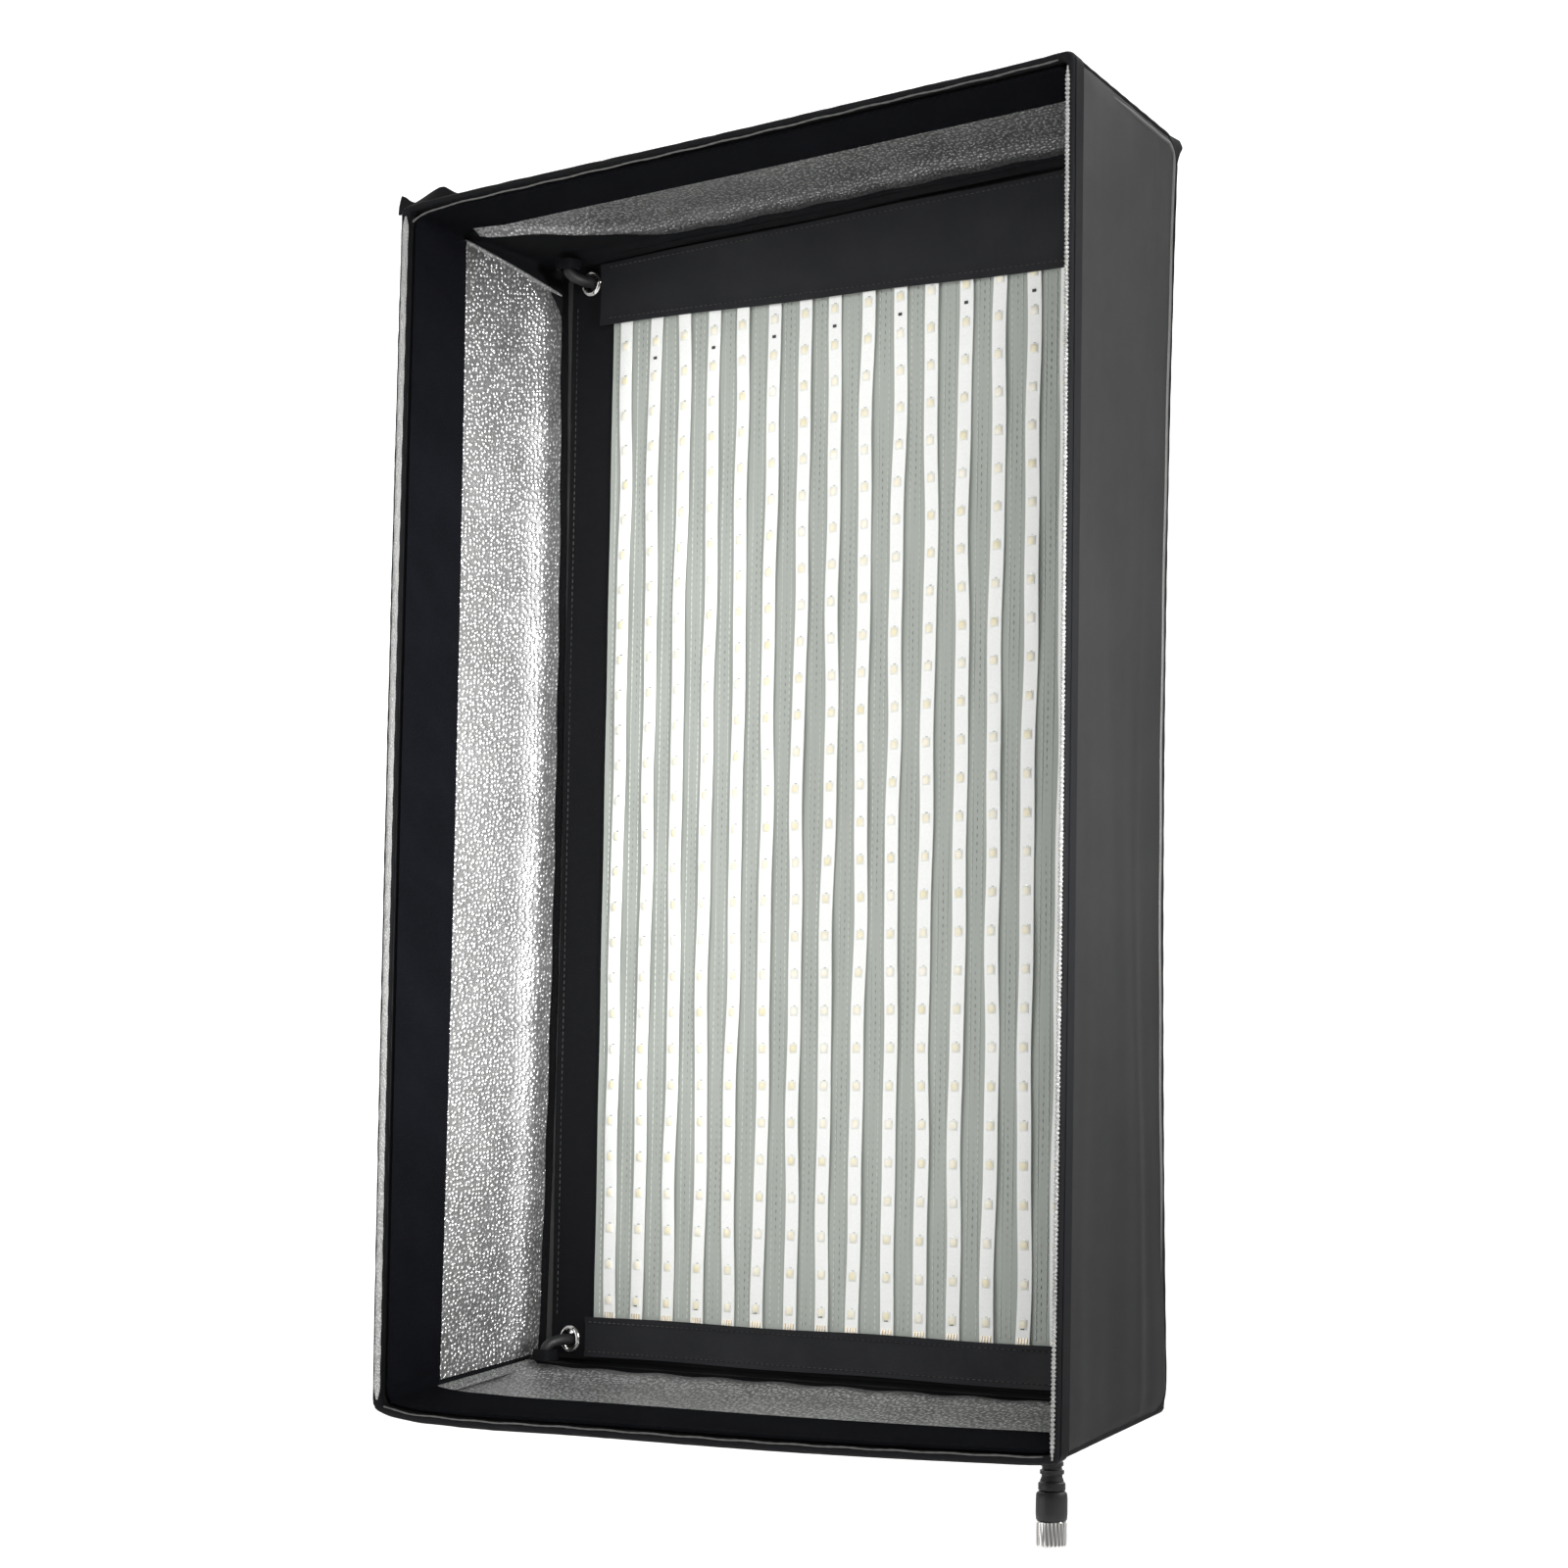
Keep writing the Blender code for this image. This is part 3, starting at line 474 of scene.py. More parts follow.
def wall_points(s, side, a, t, y0, y1, inset, ends=0.0, rounding=0.0):
    """Points of one wall: a runs from -1 to 1 between the corners and t from 0 to 1 over
    the depth. rounding eats the back corners of a side wall as a quarter circle."""
    sx, sz = WALLS[side]
    y = y0 + (y1 - y0) * t
    if rounding:
        reach = half_sides(s, s.front_y + s.depth)[1]
        k = np.clip((np.abs(a) * reach - (reach - rounding)) / rounding, 0, 1)
        y = y - rounding * 0.8 * (1 - np.sqrt(np.clip(1 - k**2, 0, 1))) * t
    hx, hz = half_sides(s, y, inset)
    if sx:
        x, z = sx * hx, a * (hz - ends)
    else:
        x, z = a * (hx - ends), sz * hz
    return points_at(x, y, s.centre_z + z)


def even_grid(along, deep):
    """Even values of a from -1 to 1 and of t from 0 to 1."""
    return np.meshgrid(np.linspace(-1, 1, along), np.linspace(0, 1, deep), indexing="ij")


def outward(side):
    """Unit vector out of a wall."""
    sx, sz = WALLS[side]
    return np.array([sx, 0.0, sz])


def ring_grid(s, stations, corner=0.004, per_side=(64, 96)):
    """Closed band round the box: each station is a depth and an inset (or two insets, for
    the sides and for the ends), and is a rectangle with rounded corners."""
    rows = []
    for y, inset in stations:
        inset_x, inset_z = inset if hasattr(inset, "__len__") else (inset, inset)
        hx, _ = half_sides(s, y, inset_x)
        _, hz = half_sides(s, y, inset_z)
        turn = np.linspace(0, math.pi / 2, 7)
        parts = []
        for (cx, cz, start), count in zip(
                ((-1, -1, math.pi), (1, -1, 1.5 * math.pi), (1, 1, 0), (-1, 1, math.pi / 2)),
                (per_side[0], per_side[1], per_side[0], per_side[1])):
            centre = np.array([cx * (hx - corner), cz * (hz - corner)])
            arc = centre + corner * np.stack([np.cos(start + turn), np.sin(start + turn)],
                                             axis=1)
            parts.append((arc, count))
        loop = []
        for k, (arc, count) in enumerate(parts):
            following = parts[(k + 1) % 4][0][0]
            run = np.linspace(arc[-1], following, count + 1)[1:-1]
            loop += [arc, run]
        flat = np.concatenate(loop)
        rows.append(points_at(flat[:, 0], y, s.centre_z + flat[:, 1]))
    return np.stack(rows, axis=1)


# ---------------------------------------------------------------- finishes
class Tree:
    """Adds nodes and links to one shader tree."""

    def __init__(self, tree):
        self.tree = tree

    def add(self, kind, **values):
        """One node: plain names are its settings, and inputs= sets or links its sockets."""
        node = self.tree.nodes.new(kind)
        inputs = values.pop("inputs", {})
        for key, value in values.items():
            setattr(node, key, value)
        for key, value in inputs.items():
            socket = node.inputs[key]
            if isinstance(value, bpy.types.NodeSocket):
                self.tree.links.new(value, socket)
            else:
                socket.default_value = value
        return node

    def math(self, operation, a, b=0.0):
        """One Math node's result."""
        return self.add("ShaderNodeMath", operation=operation, inputs={0: a, 1: b}).outputs[0]

    def blend(self, factor, a, b):
        """Mix of two colours."""
        node = self.add("ShaderNodeMix", data_type="RGBA", inputs={0: factor, 6: a, 7: b})
        return node.outputs[2]

    def span(self, value, low, high, to_low=0.0, to_high=1.0):
        """A value moved from one range to another and held inside it."""
        node = self.add("ShaderNodeMapRange",
                        inputs={0: value, 1: low, 2: high, 3: to_low, 4: to_high})
        return node.outputs[0]


def shared_group(name, inputs, outputs, fill):
    """A node group that several finishes use, made once."""
    group = bpy.data.node_groups.get(name)
    if group:
        return group
    group = bpy.data.node_groups.new(name, "ShaderNodeTree")
    for label, kind, default in inputs:
        socket = group.interface.new_socket(name=label, in_out="INPUT", socket_type=kind)
        if default is not None:
            socket.default_value = default
    for label, kind in outputs:
        group.interface.new_socket(name=label, in_out="OUTPUT", socket_type=kind)
    tree = Tree(group)
    entry = tree.add("NodeGroupInput")
    leave = tree.add("NodeGroupOutput")
    for label, socket in fill(tree, entry.outputs).items():
        group.links.new(socket, leave.inputs[label])
    return group


def weave_group():
    """Plain weave: threads across and along, each a sine ridge, over and under in turn, with slubs
    from noise. Its Thread output, high where the threads cross on top, is used as painted shade."""
    def fill(tree, given):
        scaled = tree.add("ShaderNodeVectorMath", operation="SCALE",
                          inputs={0: given["Vector"], "Scale": given["Threads"]})
        parts = tree.add("ShaderNodeSeparateXYZ", inputs={0: scaled.outputs[0]})
        a = tree.math("SINE", tree.math("MULTIPLY", parts.outputs[0], math.pi))
        b = tree.math("SINE", tree.math("MULTIPLY", parts.outputs[1], math.pi))
        crossing = tree.math("MULTIPLY", a, b)
        slub = tree.add("ShaderNodeTexNoise", inputs={
            "Vector": given["Vector"], "Scale": 900.0, "Detail": 3.0, "Roughness": 0.6})
        cloudy = tree.add("ShaderNodeTexNoise", inputs={
            "Vector": given["Vector"], "Scale": 22.0, "Detail": 4.0, "Roughness": 0.55})
        height = tree.math("ADD", tree.math("MULTIPLY", crossing, 0.5),
                           tree.math("MULTIPLY", slub.outputs[0], given["Slub"]))
        return {"Height": height, "Tone": tree.span(cloudy.outputs[0], 0.3, 0.7),
                "Thread": tree.span(crossing, -1.0, 1.0)}
    return shared_group(
        "Cloth weave", (("Vector", "NodeSocketVector", None),
                        ("Threads", "NodeSocketFloat", 1600.0),
                        ("Slub", "NodeSocketFloat", 0.6)),
        (("Height", "NodeSocketFloat"), ("Tone", "NodeSocketFloat"),
         ("Thread", "NodeSocketFloat")), fill)


def pebble_group():
    """Dimpled film: round domes in a loose grid, each a smooth step of the distance from its
    middle, over slow swells. The Dimple output, which grows from a dome's middle outwards, sets
    the film's roughness and its painted shade between the domes."""
    def fill(tree, given):
        warp = tree.add("ShaderNodeTexNoise", inputs={
            "Vector": given["Vector"], "Scale": 160.0, "Detail": 1.0})
        nudge = tree.add("ShaderNodeVectorMath", operation="SCALE",
                         inputs={0: warp.outputs["Color"], "Scale": 0.0016})
        place = tree.add("ShaderNodeVectorMath", operation="ADD",
                         inputs={0: given["Vector"], 1: nudge.outputs[0]})
        cells = tree.add("ShaderNodeTexVoronoi", feature="F1", inputs={
            "Vector": place.outputs[0], "Scale": given["Cells"], "Randomness": 0.72})
        near = cells.outputs["Distance"]
        dome = tree.add("ShaderNodeMapRange", interpolation_type="SMOOTHSTEP", inputs={
            0: near, 1: 0.56, 2: 0.04, 3: 0.0, 4: 1.0}).outputs[0]
        swell = tree.add("ShaderNodeTexNoise", inputs={
            "Vector": given["Vector"], "Scale": 60.0, "Detail": 1.0})
        height = tree.math("ADD", dome, tree.math("MULTIPLY", swell.outputs[0], given["Swell"]))
        return {"Height": height, "Dimple": tree.span(near, 0.14, 0.50),
                "Tone": tree.span(swell.outputs[0], 0.35, 0.65)}
    return shared_group(
        "Dimpled film", (("Vector", "NodeSocketVector", None),
                         ("Cells", "NodeSocketFloat", 620.0),
                         ("Swell", "NodeSocketFloat", 0.8)),
        (("Height", "NodeSocketFloat"), ("Dimple", "NodeSocketFloat"),
         ("Tone", "NodeSocketFloat")), fill)


def handling_group():
    """Dust and handling: soft clouds cut by finer specks, as a mask from 0 to 1."""
    def fill(tree, given):
        cloud = tree.add("ShaderNodeTexNoise", inputs={
            "Vector": given["Vector"], "Scale": given["Scale"], "Detail": 6.0,
            "Roughness": 0.6})
        speck = tree.add("ShaderNodeTexNoise", inputs={
            "Vector": given["Vector"], "Scale": 1400.0, "Detail": 2.0})
        broad = tree.span(cloud.outputs[0], 0.38, 0.68)
        return {"Mask": tree.math("MULTIPLY", broad, given["Amount"]),
                "Speck": tree.span(speck.outputs[0], 0.56, 0.72)}
    return shared_group(
        "Handling marks", (("Vector", "NodeSocketVector", None),
                           ("Scale", "NodeSocketFloat", 14.0),
                           ("Amount", "NodeSocketFloat", 0.5)),
        (("Mask", "NodeSocketFloat"), ("Speck", "NodeSocketFloat")), fill)


def rgb(value, gain=1.0):
    """A colour with its alpha, made lighter or darker."""
    return (*(min(1.0, c * gain) for c in value), 1.0)


def new_finish(name, **constants):
    """Empty material with a Principled shader whose plain values are set."""
    material = bpy.data.materials.new(name)
    material.use_nodes = True
    material.node_tree.nodes.clear()
    tree = Tree(material.node_tree)
    shader = tree.add("ShaderNodeBsdfPrincipled")
    for key, value in constants.items():
        shader.inputs[key.replace("_", " ")].default_value = value
    out = tree.add("ShaderNodeOutputMaterial")
    material.node_tree.links.new(shader.outputs[0], out.inputs[0])
    return material, tree, shader


def wired(material, shader, base, rough, normal=None):
    """Links a finish's colour, roughness and normal to its shader."""
    for label, socket in (("Base Color", base), ("Roughness", rough), ("Normal", normal)):
        if socket is not None:
            material.node_tree.links.new(socket, shader.inputs[label])
    return material


def bump(tree, height, strength, distance, under=None):
    """Normal from a height."""
    inputs = {"Height": height, "Strength": strength, "Distance": distance}
    if under is not None:
        inputs["Normal"] = under
    return tree.add("ShaderNodeBump", inputs=inputs).outputs[0]


def placed(tree, group, vector, **values):
    """A shared group inside a material."""
    inputs = {"Vector": vector, **{k.replace("_", " "): v for k, v in values.items()}}
    return tree.add("ShaderNodeGroup", node_tree=group, inputs=inputs).outputs


def woven(name, tint, threads, weave_shade_contrast=0.25, rough=(0.62, 0.85), depth=0.00012,
          on_object=False, lift=1.6, dust=0.10, **constants):
    """Woven cloth: weave bump, painted shade that makes the threads lighter where they cross on
    top and darker in the hollows, cloudy tone and a little dust.
    """
    material, tree, shader = new_finish(name, **constants)
    coords = tree.add("ShaderNodeTexCoord").outputs["Object" if on_object else "UV"]
    weave = placed(tree, weave_group(), coords, Threads=threads)
    marks = placed(tree, handling_group(), coords, Amount=dust)
    # Painted shade of the weave: the raised thread crossings lighter and the hollows darker.
    base = tree.blend(weave["Thread"], rgb(tint, 1 - weave_shade_contrast), rgb(tint, 1 + weave_shade_contrast))
    cloudy = tree.blend(tree.math("MULTIPLY", weave["Tone"], 0.35), base, rgb(tint, lift))
    dusty = tree.blend(marks["Mask"], cloudy, (0.35, 0.34, 0.32, 1.0))
    return wired(material, shader, dusty, tree.span(weave["Tone"], 0.0, 1.0, *rough),
                 bump(tree, weave["Height"], 0.55, depth))


def velvet(name, tint):
    """Loop pile: dense tiny curls that swallow light."""
    material, tree, shader = new_finish(name, Specular_IOR_Level=0.04)
    coords = tree.add("ShaderNodeTexCoord").outputs["UV"]
    curls = tree.add("ShaderNodeTexNoise", inputs={
        "Vector": coords, "Scale": 1500.0, "Detail": 4.0, "Roughness": 0.7})
    marks = placed(tree, handling_group(), coords, Scale=30.0, Amount=0.35)
    tone = tree.blend(tree.span(curls.outputs[0], 0.35, 0.7), rgb(tint, 0.5), rgb(tint, 1.7))
    return wired(material, shader, tree.blend(marks["Mask"], tone, rgb(tint, 1.9)),
                 tree.span(curls.outputs[0], 0.3, 0.7, 0.9, 1.0),
                 bump(tree, curls.outputs[0], 0.7, 0.0005))


def silver_film(name, tint, cells=620.0, metallic=0.85, depth=0.0005, strength=0.9):
    """Dimpled silver film: bright domes with painted shade in dark rings between them, standing in
    for the domes' glints; slightly cloudy.
    """
    material, tree, shader = new_finish(name, Specular_IOR_Level=0.5)
    coords = tree.add("ShaderNodeTexCoord").outputs["UV"]
    film = placed(tree, pebble_group(), coords, Cells=cells)
    weave = placed(tree, weave_group(), coords, Threads=2400.0, Slub=0.9)
    marks = placed(tree, handling_group(), coords, Scale=26.0, Amount=0.25)
    # Painted shade: the film darkens to 0.3 of its tint between the domes, so the domes read as
    # glints.
    painted_dome_shade = tree.blend(film["Dimple"], rgb(tint), rgb(tint, 0.30))
    cloudy = tree.blend(marks["Mask"], painted_dome_shade, rgb(tint, 0.72))
    shine = tree.span(film["Tone"], 0.0, 1.0, metallic - 0.1, metallic)
    material.node_tree.links.new(shine, shader.inputs["Metallic"])
    fine = bump(tree, weave["Height"], 0.25, 0.00006)
    return wired(material, shader, cloudy, tree.span(film["Dimple"], 0.0, 1.0, 0.26, 0.38),
                 bump(tree, film["Height"], strength, depth, fine))


def moulded(name, tint, rough=(0.42, 0.62), grain=0.00008, **constants):
    """Moulded plastic or rubber: fine spark grain, scuffs that are paler and duller."""
    material, tree, shader = new_finish(name, **constants)
    coords = tree.add("ShaderNodeTexCoord").outputs["Object"]
    spark = tree.add("ShaderNodeTexNoise", inputs={
        "Vector": coords, "Scale": 2600.0, "Detail": 2.0, "Roughness": 0.6})
    marks = placed(tree, handling_group(), coords, Scale=70.0, Amount=0.6)
    return wired(material, shader, tree.blend(marks["Mask"], rgb(tint), rgb(tint, 2.1)),
                 tree.span(marks["Mask"], 0.0, 0.6, *rough),
                 bump(tree, spark.outputs[0], 0.5, grain))


def plated(name, tint, rough=(0.16, 0.38), brushed=(1.0, 1.0, 1.0), metallic=1.0):
    """Plated or brushed metal: fine scratches along one axis and a cloudy film."""
    material, tree, shader = new_finish(name, Metallic=metallic)
    coords = tree.add("ShaderNodeTexCoord").outputs["Object"]
    stretch = tree.add("ShaderNodeMapping", inputs={"Vector": coords, "Scale": brushed})
    lines = tree.add("ShaderNodeTexNoise", inputs={
        "Vector": stretch.outputs[0], "Scale": 900.0, "Detail": 4.0, "Roughness": 0.65})
    marks = placed(tree, handling_group(), coords, Scale=90.0, Amount=0.8)
    worn = tree.math("ADD", lines.outputs[0], marks["Mask"])
    return wired(material, shader, tree.blend(marks["Mask"], rgb(tint), rgb(tint, 0.72)),
                 tree.span(worn, 0.4, 1.3, *rough),
                 bump(tree, lines.outputs[0], 0.25, 0.00004))


def coated(name, tint, rough=(0.38, 0.55)):
    """Powder coat: orange-peel bump over a dark colour, with rubbed patches."""
    material, tree, shader = new_finish(name, Specular_IOR_Level=0.5)
    coords = tree.add("ShaderNodeTexCoord").outputs["Object"]
    peel = tree.add("ShaderNodeTexVoronoi", feature="SMOOTH_F1", inputs={
        "Vector": coords, "Scale": 1500.0, "Smoothness": 0.8})
    marks = placed(tree, handling_group(), coords, Scale=55.0, Amount=0.5)
    return wired(material, shader, tree.blend(marks["Mask"], rgb(tint), rgb(tint, 1.9)),
                 tree.span(marks["Mask"], 0.0, 0.5, *rough),
                 bump(tree, peel.outputs["Distance"], 0.35, 0.00012))


def light_board(name, tint):
    """White solder mask on a flexible strip: even, faintly mottled, slightly glossy."""
    material, tree, shader = new_finish(name, Specular_IOR_Level=0.45)
    coords = tree.add("ShaderNodeTexCoord").outputs["UV"]
    mottle = tree.add("ShaderNodeTexNoise", inputs={
        "Vector": coords, "Scale": 700.0, "Detail": 3.0})
    marks = placed(tree, handling_group(), coords, Scale=40.0, Amount=0.3)
    tone = tree.blend(tree.span(mottle.outputs[0], 0.35, 0.65), rgb(tint, 0.95), rgb(tint))
    return wired(material, shader, tree.blend(marks["Mask"], tone, rgb(tint, 0.9)),
                 tree.span(mottle.outputs[0], 0.3, 0.7, 0.38, 0.5),
                 bump(tree, mottle.outputs[0], 0.25, 0.00008))


def studio_paper(name, tint):
    """Matte backdrop paper with a barely visible tooth."""
    material, tree, shader = new_finish(name, Specular_IOR_Level=0.1)
    coords = tree.add("ShaderNodeTexCoord").outputs["Object"]
    tooth = tree.add("ShaderNodeTexNoise", inputs={
        "Vector": coords, "Scale": 350.0, "Detail": 3.0})
    return wired(material, shader, tree.blend(tooth.outputs[0], rgb(tint, 0.985), rgb(tint)),
                 tree.span(tooth.outputs[0], 0.3, 0.7, 0.85, 0.95))


def finish(key):
    """The finish of that name, made the first time it is asked for."""
    found = bpy.data.materials.get(key)
    if found:
        return found
    c = bpy.context.scene.softbox_colours
    makers = {
        "outer nylon": lambda n: woven(n, c.nylon, 2100.0, 0.22, (0.48, 0.62), 0.0001,
                                       lift=1.25, dust=0.006, Sheen_Weight=0.02,
                                       Sheen_Roughness=0.45, Specular_IOR_Level=0.24),
        # Grey piping and beads, far paler than the black nylon and tape: painted highlight of the
        # light caught by the rounded back seams and by the front edge's fold.
        "painted highlight piping": lambda n: woven(n, (0.060, 0.060, 0.058), 1800.0, 0.25, (0.36, 0.5),
                                       0.0001, dust=0.02, Sheen_Weight=0.1),
        "silver lining": lambda n: silver_film(n, c.lining, 430.0, 0.80, 0.00040, 1.0),
        # Top lining's film: the silver lining darkened to 0.6, as painted shade of the film that
        # faces down.
        "painted shade ceiling film": lambda n: silver_film(n, tuple(0.60 * v for v in c.lining), 430.0,
                                              0.80, 0.00040, 1.0),
        "loop pile": lambda n: velvet(n, c.loop),
        "edge tape": lambda n: woven(n, c.tape, 1500.0, 0.3, (0.68, 0.84), 0.00012,
                                     dust=0.003, Specular_IOR_Level=0.13),
        "silver edging": lambda n: silver_film(n, c.edging, 900.0, 0.20, 0.0004),
        "seam film": lambda n: silver_film(n, c.lining, 900.0, 0.60, 0.0002, 0.6),
        "grey webbing": lambda n: woven(n, (0.050, 0.054, 0.050), 900.0, 0.35, (0.6, 0.8),
                                        0.0003, dust=0.02),
        "mat cloth": lambda n: woven(n, c.mat, 1700.0, 0.3, (0.70, 0.88), 0.00014,
                                     dust=0.002, Specular_IOR_Level=0.14),
        "band cloth": lambda n: woven(n, [v * 1.9 for v in c.mat], 1500.0, 0.3, (0.6, 0.8),
                                      0.00016, dust=0.004, Specular_IOR_Level=0.25),
        "field cloth": lambda n: woven(n, c.field, 1500.0, 0.13, (0.62, 0.8), 0.0002,
                                       lift=1.12, dust=0.04, Sheen_Weight=0.08),
        "strip board": lambda n: light_board(n, c.strip),
        "chip package": lambda n: light_board(n, (0.82, 0.83, 0.80)),
        "phosphor": lambda n: moulded(n, c.phosphor, (0.3, 0.42), 0.00003),
        "chip terminal": lambda n: plated(n, (0.50, 0.51, 0.50), (0.35, 0.5)),
        "solder": lambda n: plated(n, (0.66, 0.56, 0.40), (0.35, 0.5)),
        "sewing thread": lambda n: woven(n, c.thread, 3000.0, 0.3, (0.6, 0.8), 0.0001,
                                         on_object=True),
        "white thread": lambda n: woven(n, (0.62, 0.63, 0.60), 3000.0, 0.2, (0.55, 0.75),
                                        0.0001, on_object=True),
        "field thread": lambda n: woven(n, (0.50, 0.53, 0.49), 3000.0, 0.2, (0.6, 0.8),
                                        0.0001, on_object=True),
        "shadow thread": lambda n: woven(n, (0.20, 0.21, 0.20), 3000.0, 0.3, (0.7, 0.9),
                                         0.0001, on_object=True),
        "nickel": lambda n: plated(n, c.metal),
        "bright steel": lambda n: plated(n, (0.60, 0.60, 0.60), (0.22, 0.42), (1, 1, 12)),
        "rod finish": lambda n: coated(n, (0.017, 0.017, 0.018), (0.28, 0.42)),
        "bracket coat": lambda n: coated(n, (0.020, 0.020, 0.021)),
        "black plastic": lambda n: moulded(n, c.plastic),
        "fibre washer": lambda n: moulded(n, (0.10, 0.085, 0.07), (0.7, 0.85)),
        "cable jacket": lambda n: moulded(n, (0.014, 0.014, 0.015), (0.45, 0.6),
                                          Specular_IOR_Level=0.45),
        "studio paper": lambda n: studio_paper(n, c.floor),
    }
    return makers[key](key)


# ---------------------------------------------------------------- stitches
def grain_shape():
    """One stitch, a metre long and a metre thick before it is sized: a four-sided spindle
    with pointed ends."""
    angle = np.arange(5) / 5 * 2 * math.pi
    ring = np.stack([np.zeros(5), 0.5 * np.cos(angle), 0.5 * np.sin(angle)], axis=1)
    grid = np.stack([ring * 0.3 + [-0.5, 0, 0], ring + [-0.3, 0, 0], ring + [0.3, 0, 0],
                     ring * 0.3 + [0.5, 0, 0]])
    return skin(grid, (False, True), (True, True))


def stitches(path, up, pitch, length_share=0.68, thick=0.0006):
    """A run of stitches along a path: equal steps of arc length, each stitch turned along
    the path with its flat side on the cloth. up is the cloth's normal."""
    path = np.asarray(path, float)
    walked = np.concatenate([[0], np.cumsum(np.linalg.norm(np.diff(path, axis=0), axis=1))])
    count = max(2, int(walked[-1] / pitch))
    at = (np.arange(count) + 0.5) * walked[-1] / count
    half = pitch * length_share / 2
    before = np.stack([np.interp(at - half, walked, path[:, k]) for k in range(3)], axis=1)
    after = np.stack([np.interp(at + half, walked, path[:, k]) for k in range(3)], axis=1)
    ahead = after - before
    ahead /= np.maximum(np.linalg.norm(ahead, axis=1, keepdims=True), 1e-9)
    up = np.broadcast_to(np.asarray(up, float), ahead.shape)
    side = np.cross(up, ahead)
    side /= np.linalg.norm(side, axis=1, keepdims=True)
    frames = np.stack([ahead, side, np.cross(ahead, side)], axis=2)
    sizes = np.broadcast_to([pitch * length_share, thick * 1.25, thick], ahead.shape)
    return repeat(grain_shape(), (before + after) / 2, frames, sizes)


# ---------------------------------------------------------------- operators
class SOFTBOX_OT_camera(bpy.types.Operator):
    """Camera that looks at the softbox from its right front"""

    bl_idname = "softbox.camera"
    bl_label = "Camera"

    def execute(self, context):
        g = context.scene.softbox_stage
        cos_e, sin_e = math.cos(g.elevation), math.sin(g.elevation)
        cos_a, sin_a = math.cos(g.azimuth), math.sin(g.azimuth)
        back = Vector((sin_a * cos_e, -cos_a * cos_e, sin_e))
        right = Vector((cos_a, sin_a, 0))
        up = back.cross(right)
        turned_right = right * math.cos(g.roll) + up * math.sin(g.roll)
        turned_up = up * math.cos(g.roll) - right * math.sin(g.roll)
        data = bpy.data.cameras.new("camera")
        data.sensor_width, data.lens = 36.0, g.lens
        data.shift_x, data.shift_y = 0.0, 0.0625
        data.clip_start, data.clip_end = 0.05, 60.0
        camera = bpy.data.objects.new("camera", data)
        place = Matrix((turned_right, turned_up, back)).transposed().to_4x4()
        place.translation = Vector(g.target) + back * g.distance
        camera.matrix_world = place
        context.collection.objects.link(camera)
        context.scene.camera = camera
        return {"FINISHED"}


def lead_route():
    """Middle line of the lead: straight back out of the gland, over and down to the plug."""
    x, y, z = LEAD_X, LEAD_Y, LEAD_Z
    return [(x, y, z), (x, y + 0.012, z - 0.0006), (x + 0.0004, y + 0.023, z - 0.006),
            (x + 0.001, y + 0.0325, z - 0.019), (x + 0.0016, y + 0.0385, z - 0.040),
            (x + 0.0018, y + 0.0405, z - 0.070), (x + 0.0014, -0.0795, z - 0.110),
            (x + 0.0007, -0.0797, z - 0.150), (x + 0.0002, -0.0799, z - 0.200),
            (x, PLUG_Y, z - 0.240), (x, PLUG_Y, PLUG_TOP + 0.0003)]


def through(points, steps):
    """Catmull-Rom curve through the points, with an even number of steps per span."""
    p = np.asarray(points, float)
    p = np.concatenate([[2 * p[0] - p[1]], p, [2 * p[-1] - p[-2]]])
    t = (np.arange(steps) / steps)[None, :, None]
    a, b, c, d = (p[k:len(p) - 3 + k][:, None, :] for k in range(4))
    curve = 0.5 * (2 * b + (c - a) * t + (2 * a - 5 * b + 4 * c - d) * t**2
                   + (3 * b - a - 3 * c + d) * t**3)
    return np.concatenate([curve.reshape(-1, 3), p[-2:-1]])


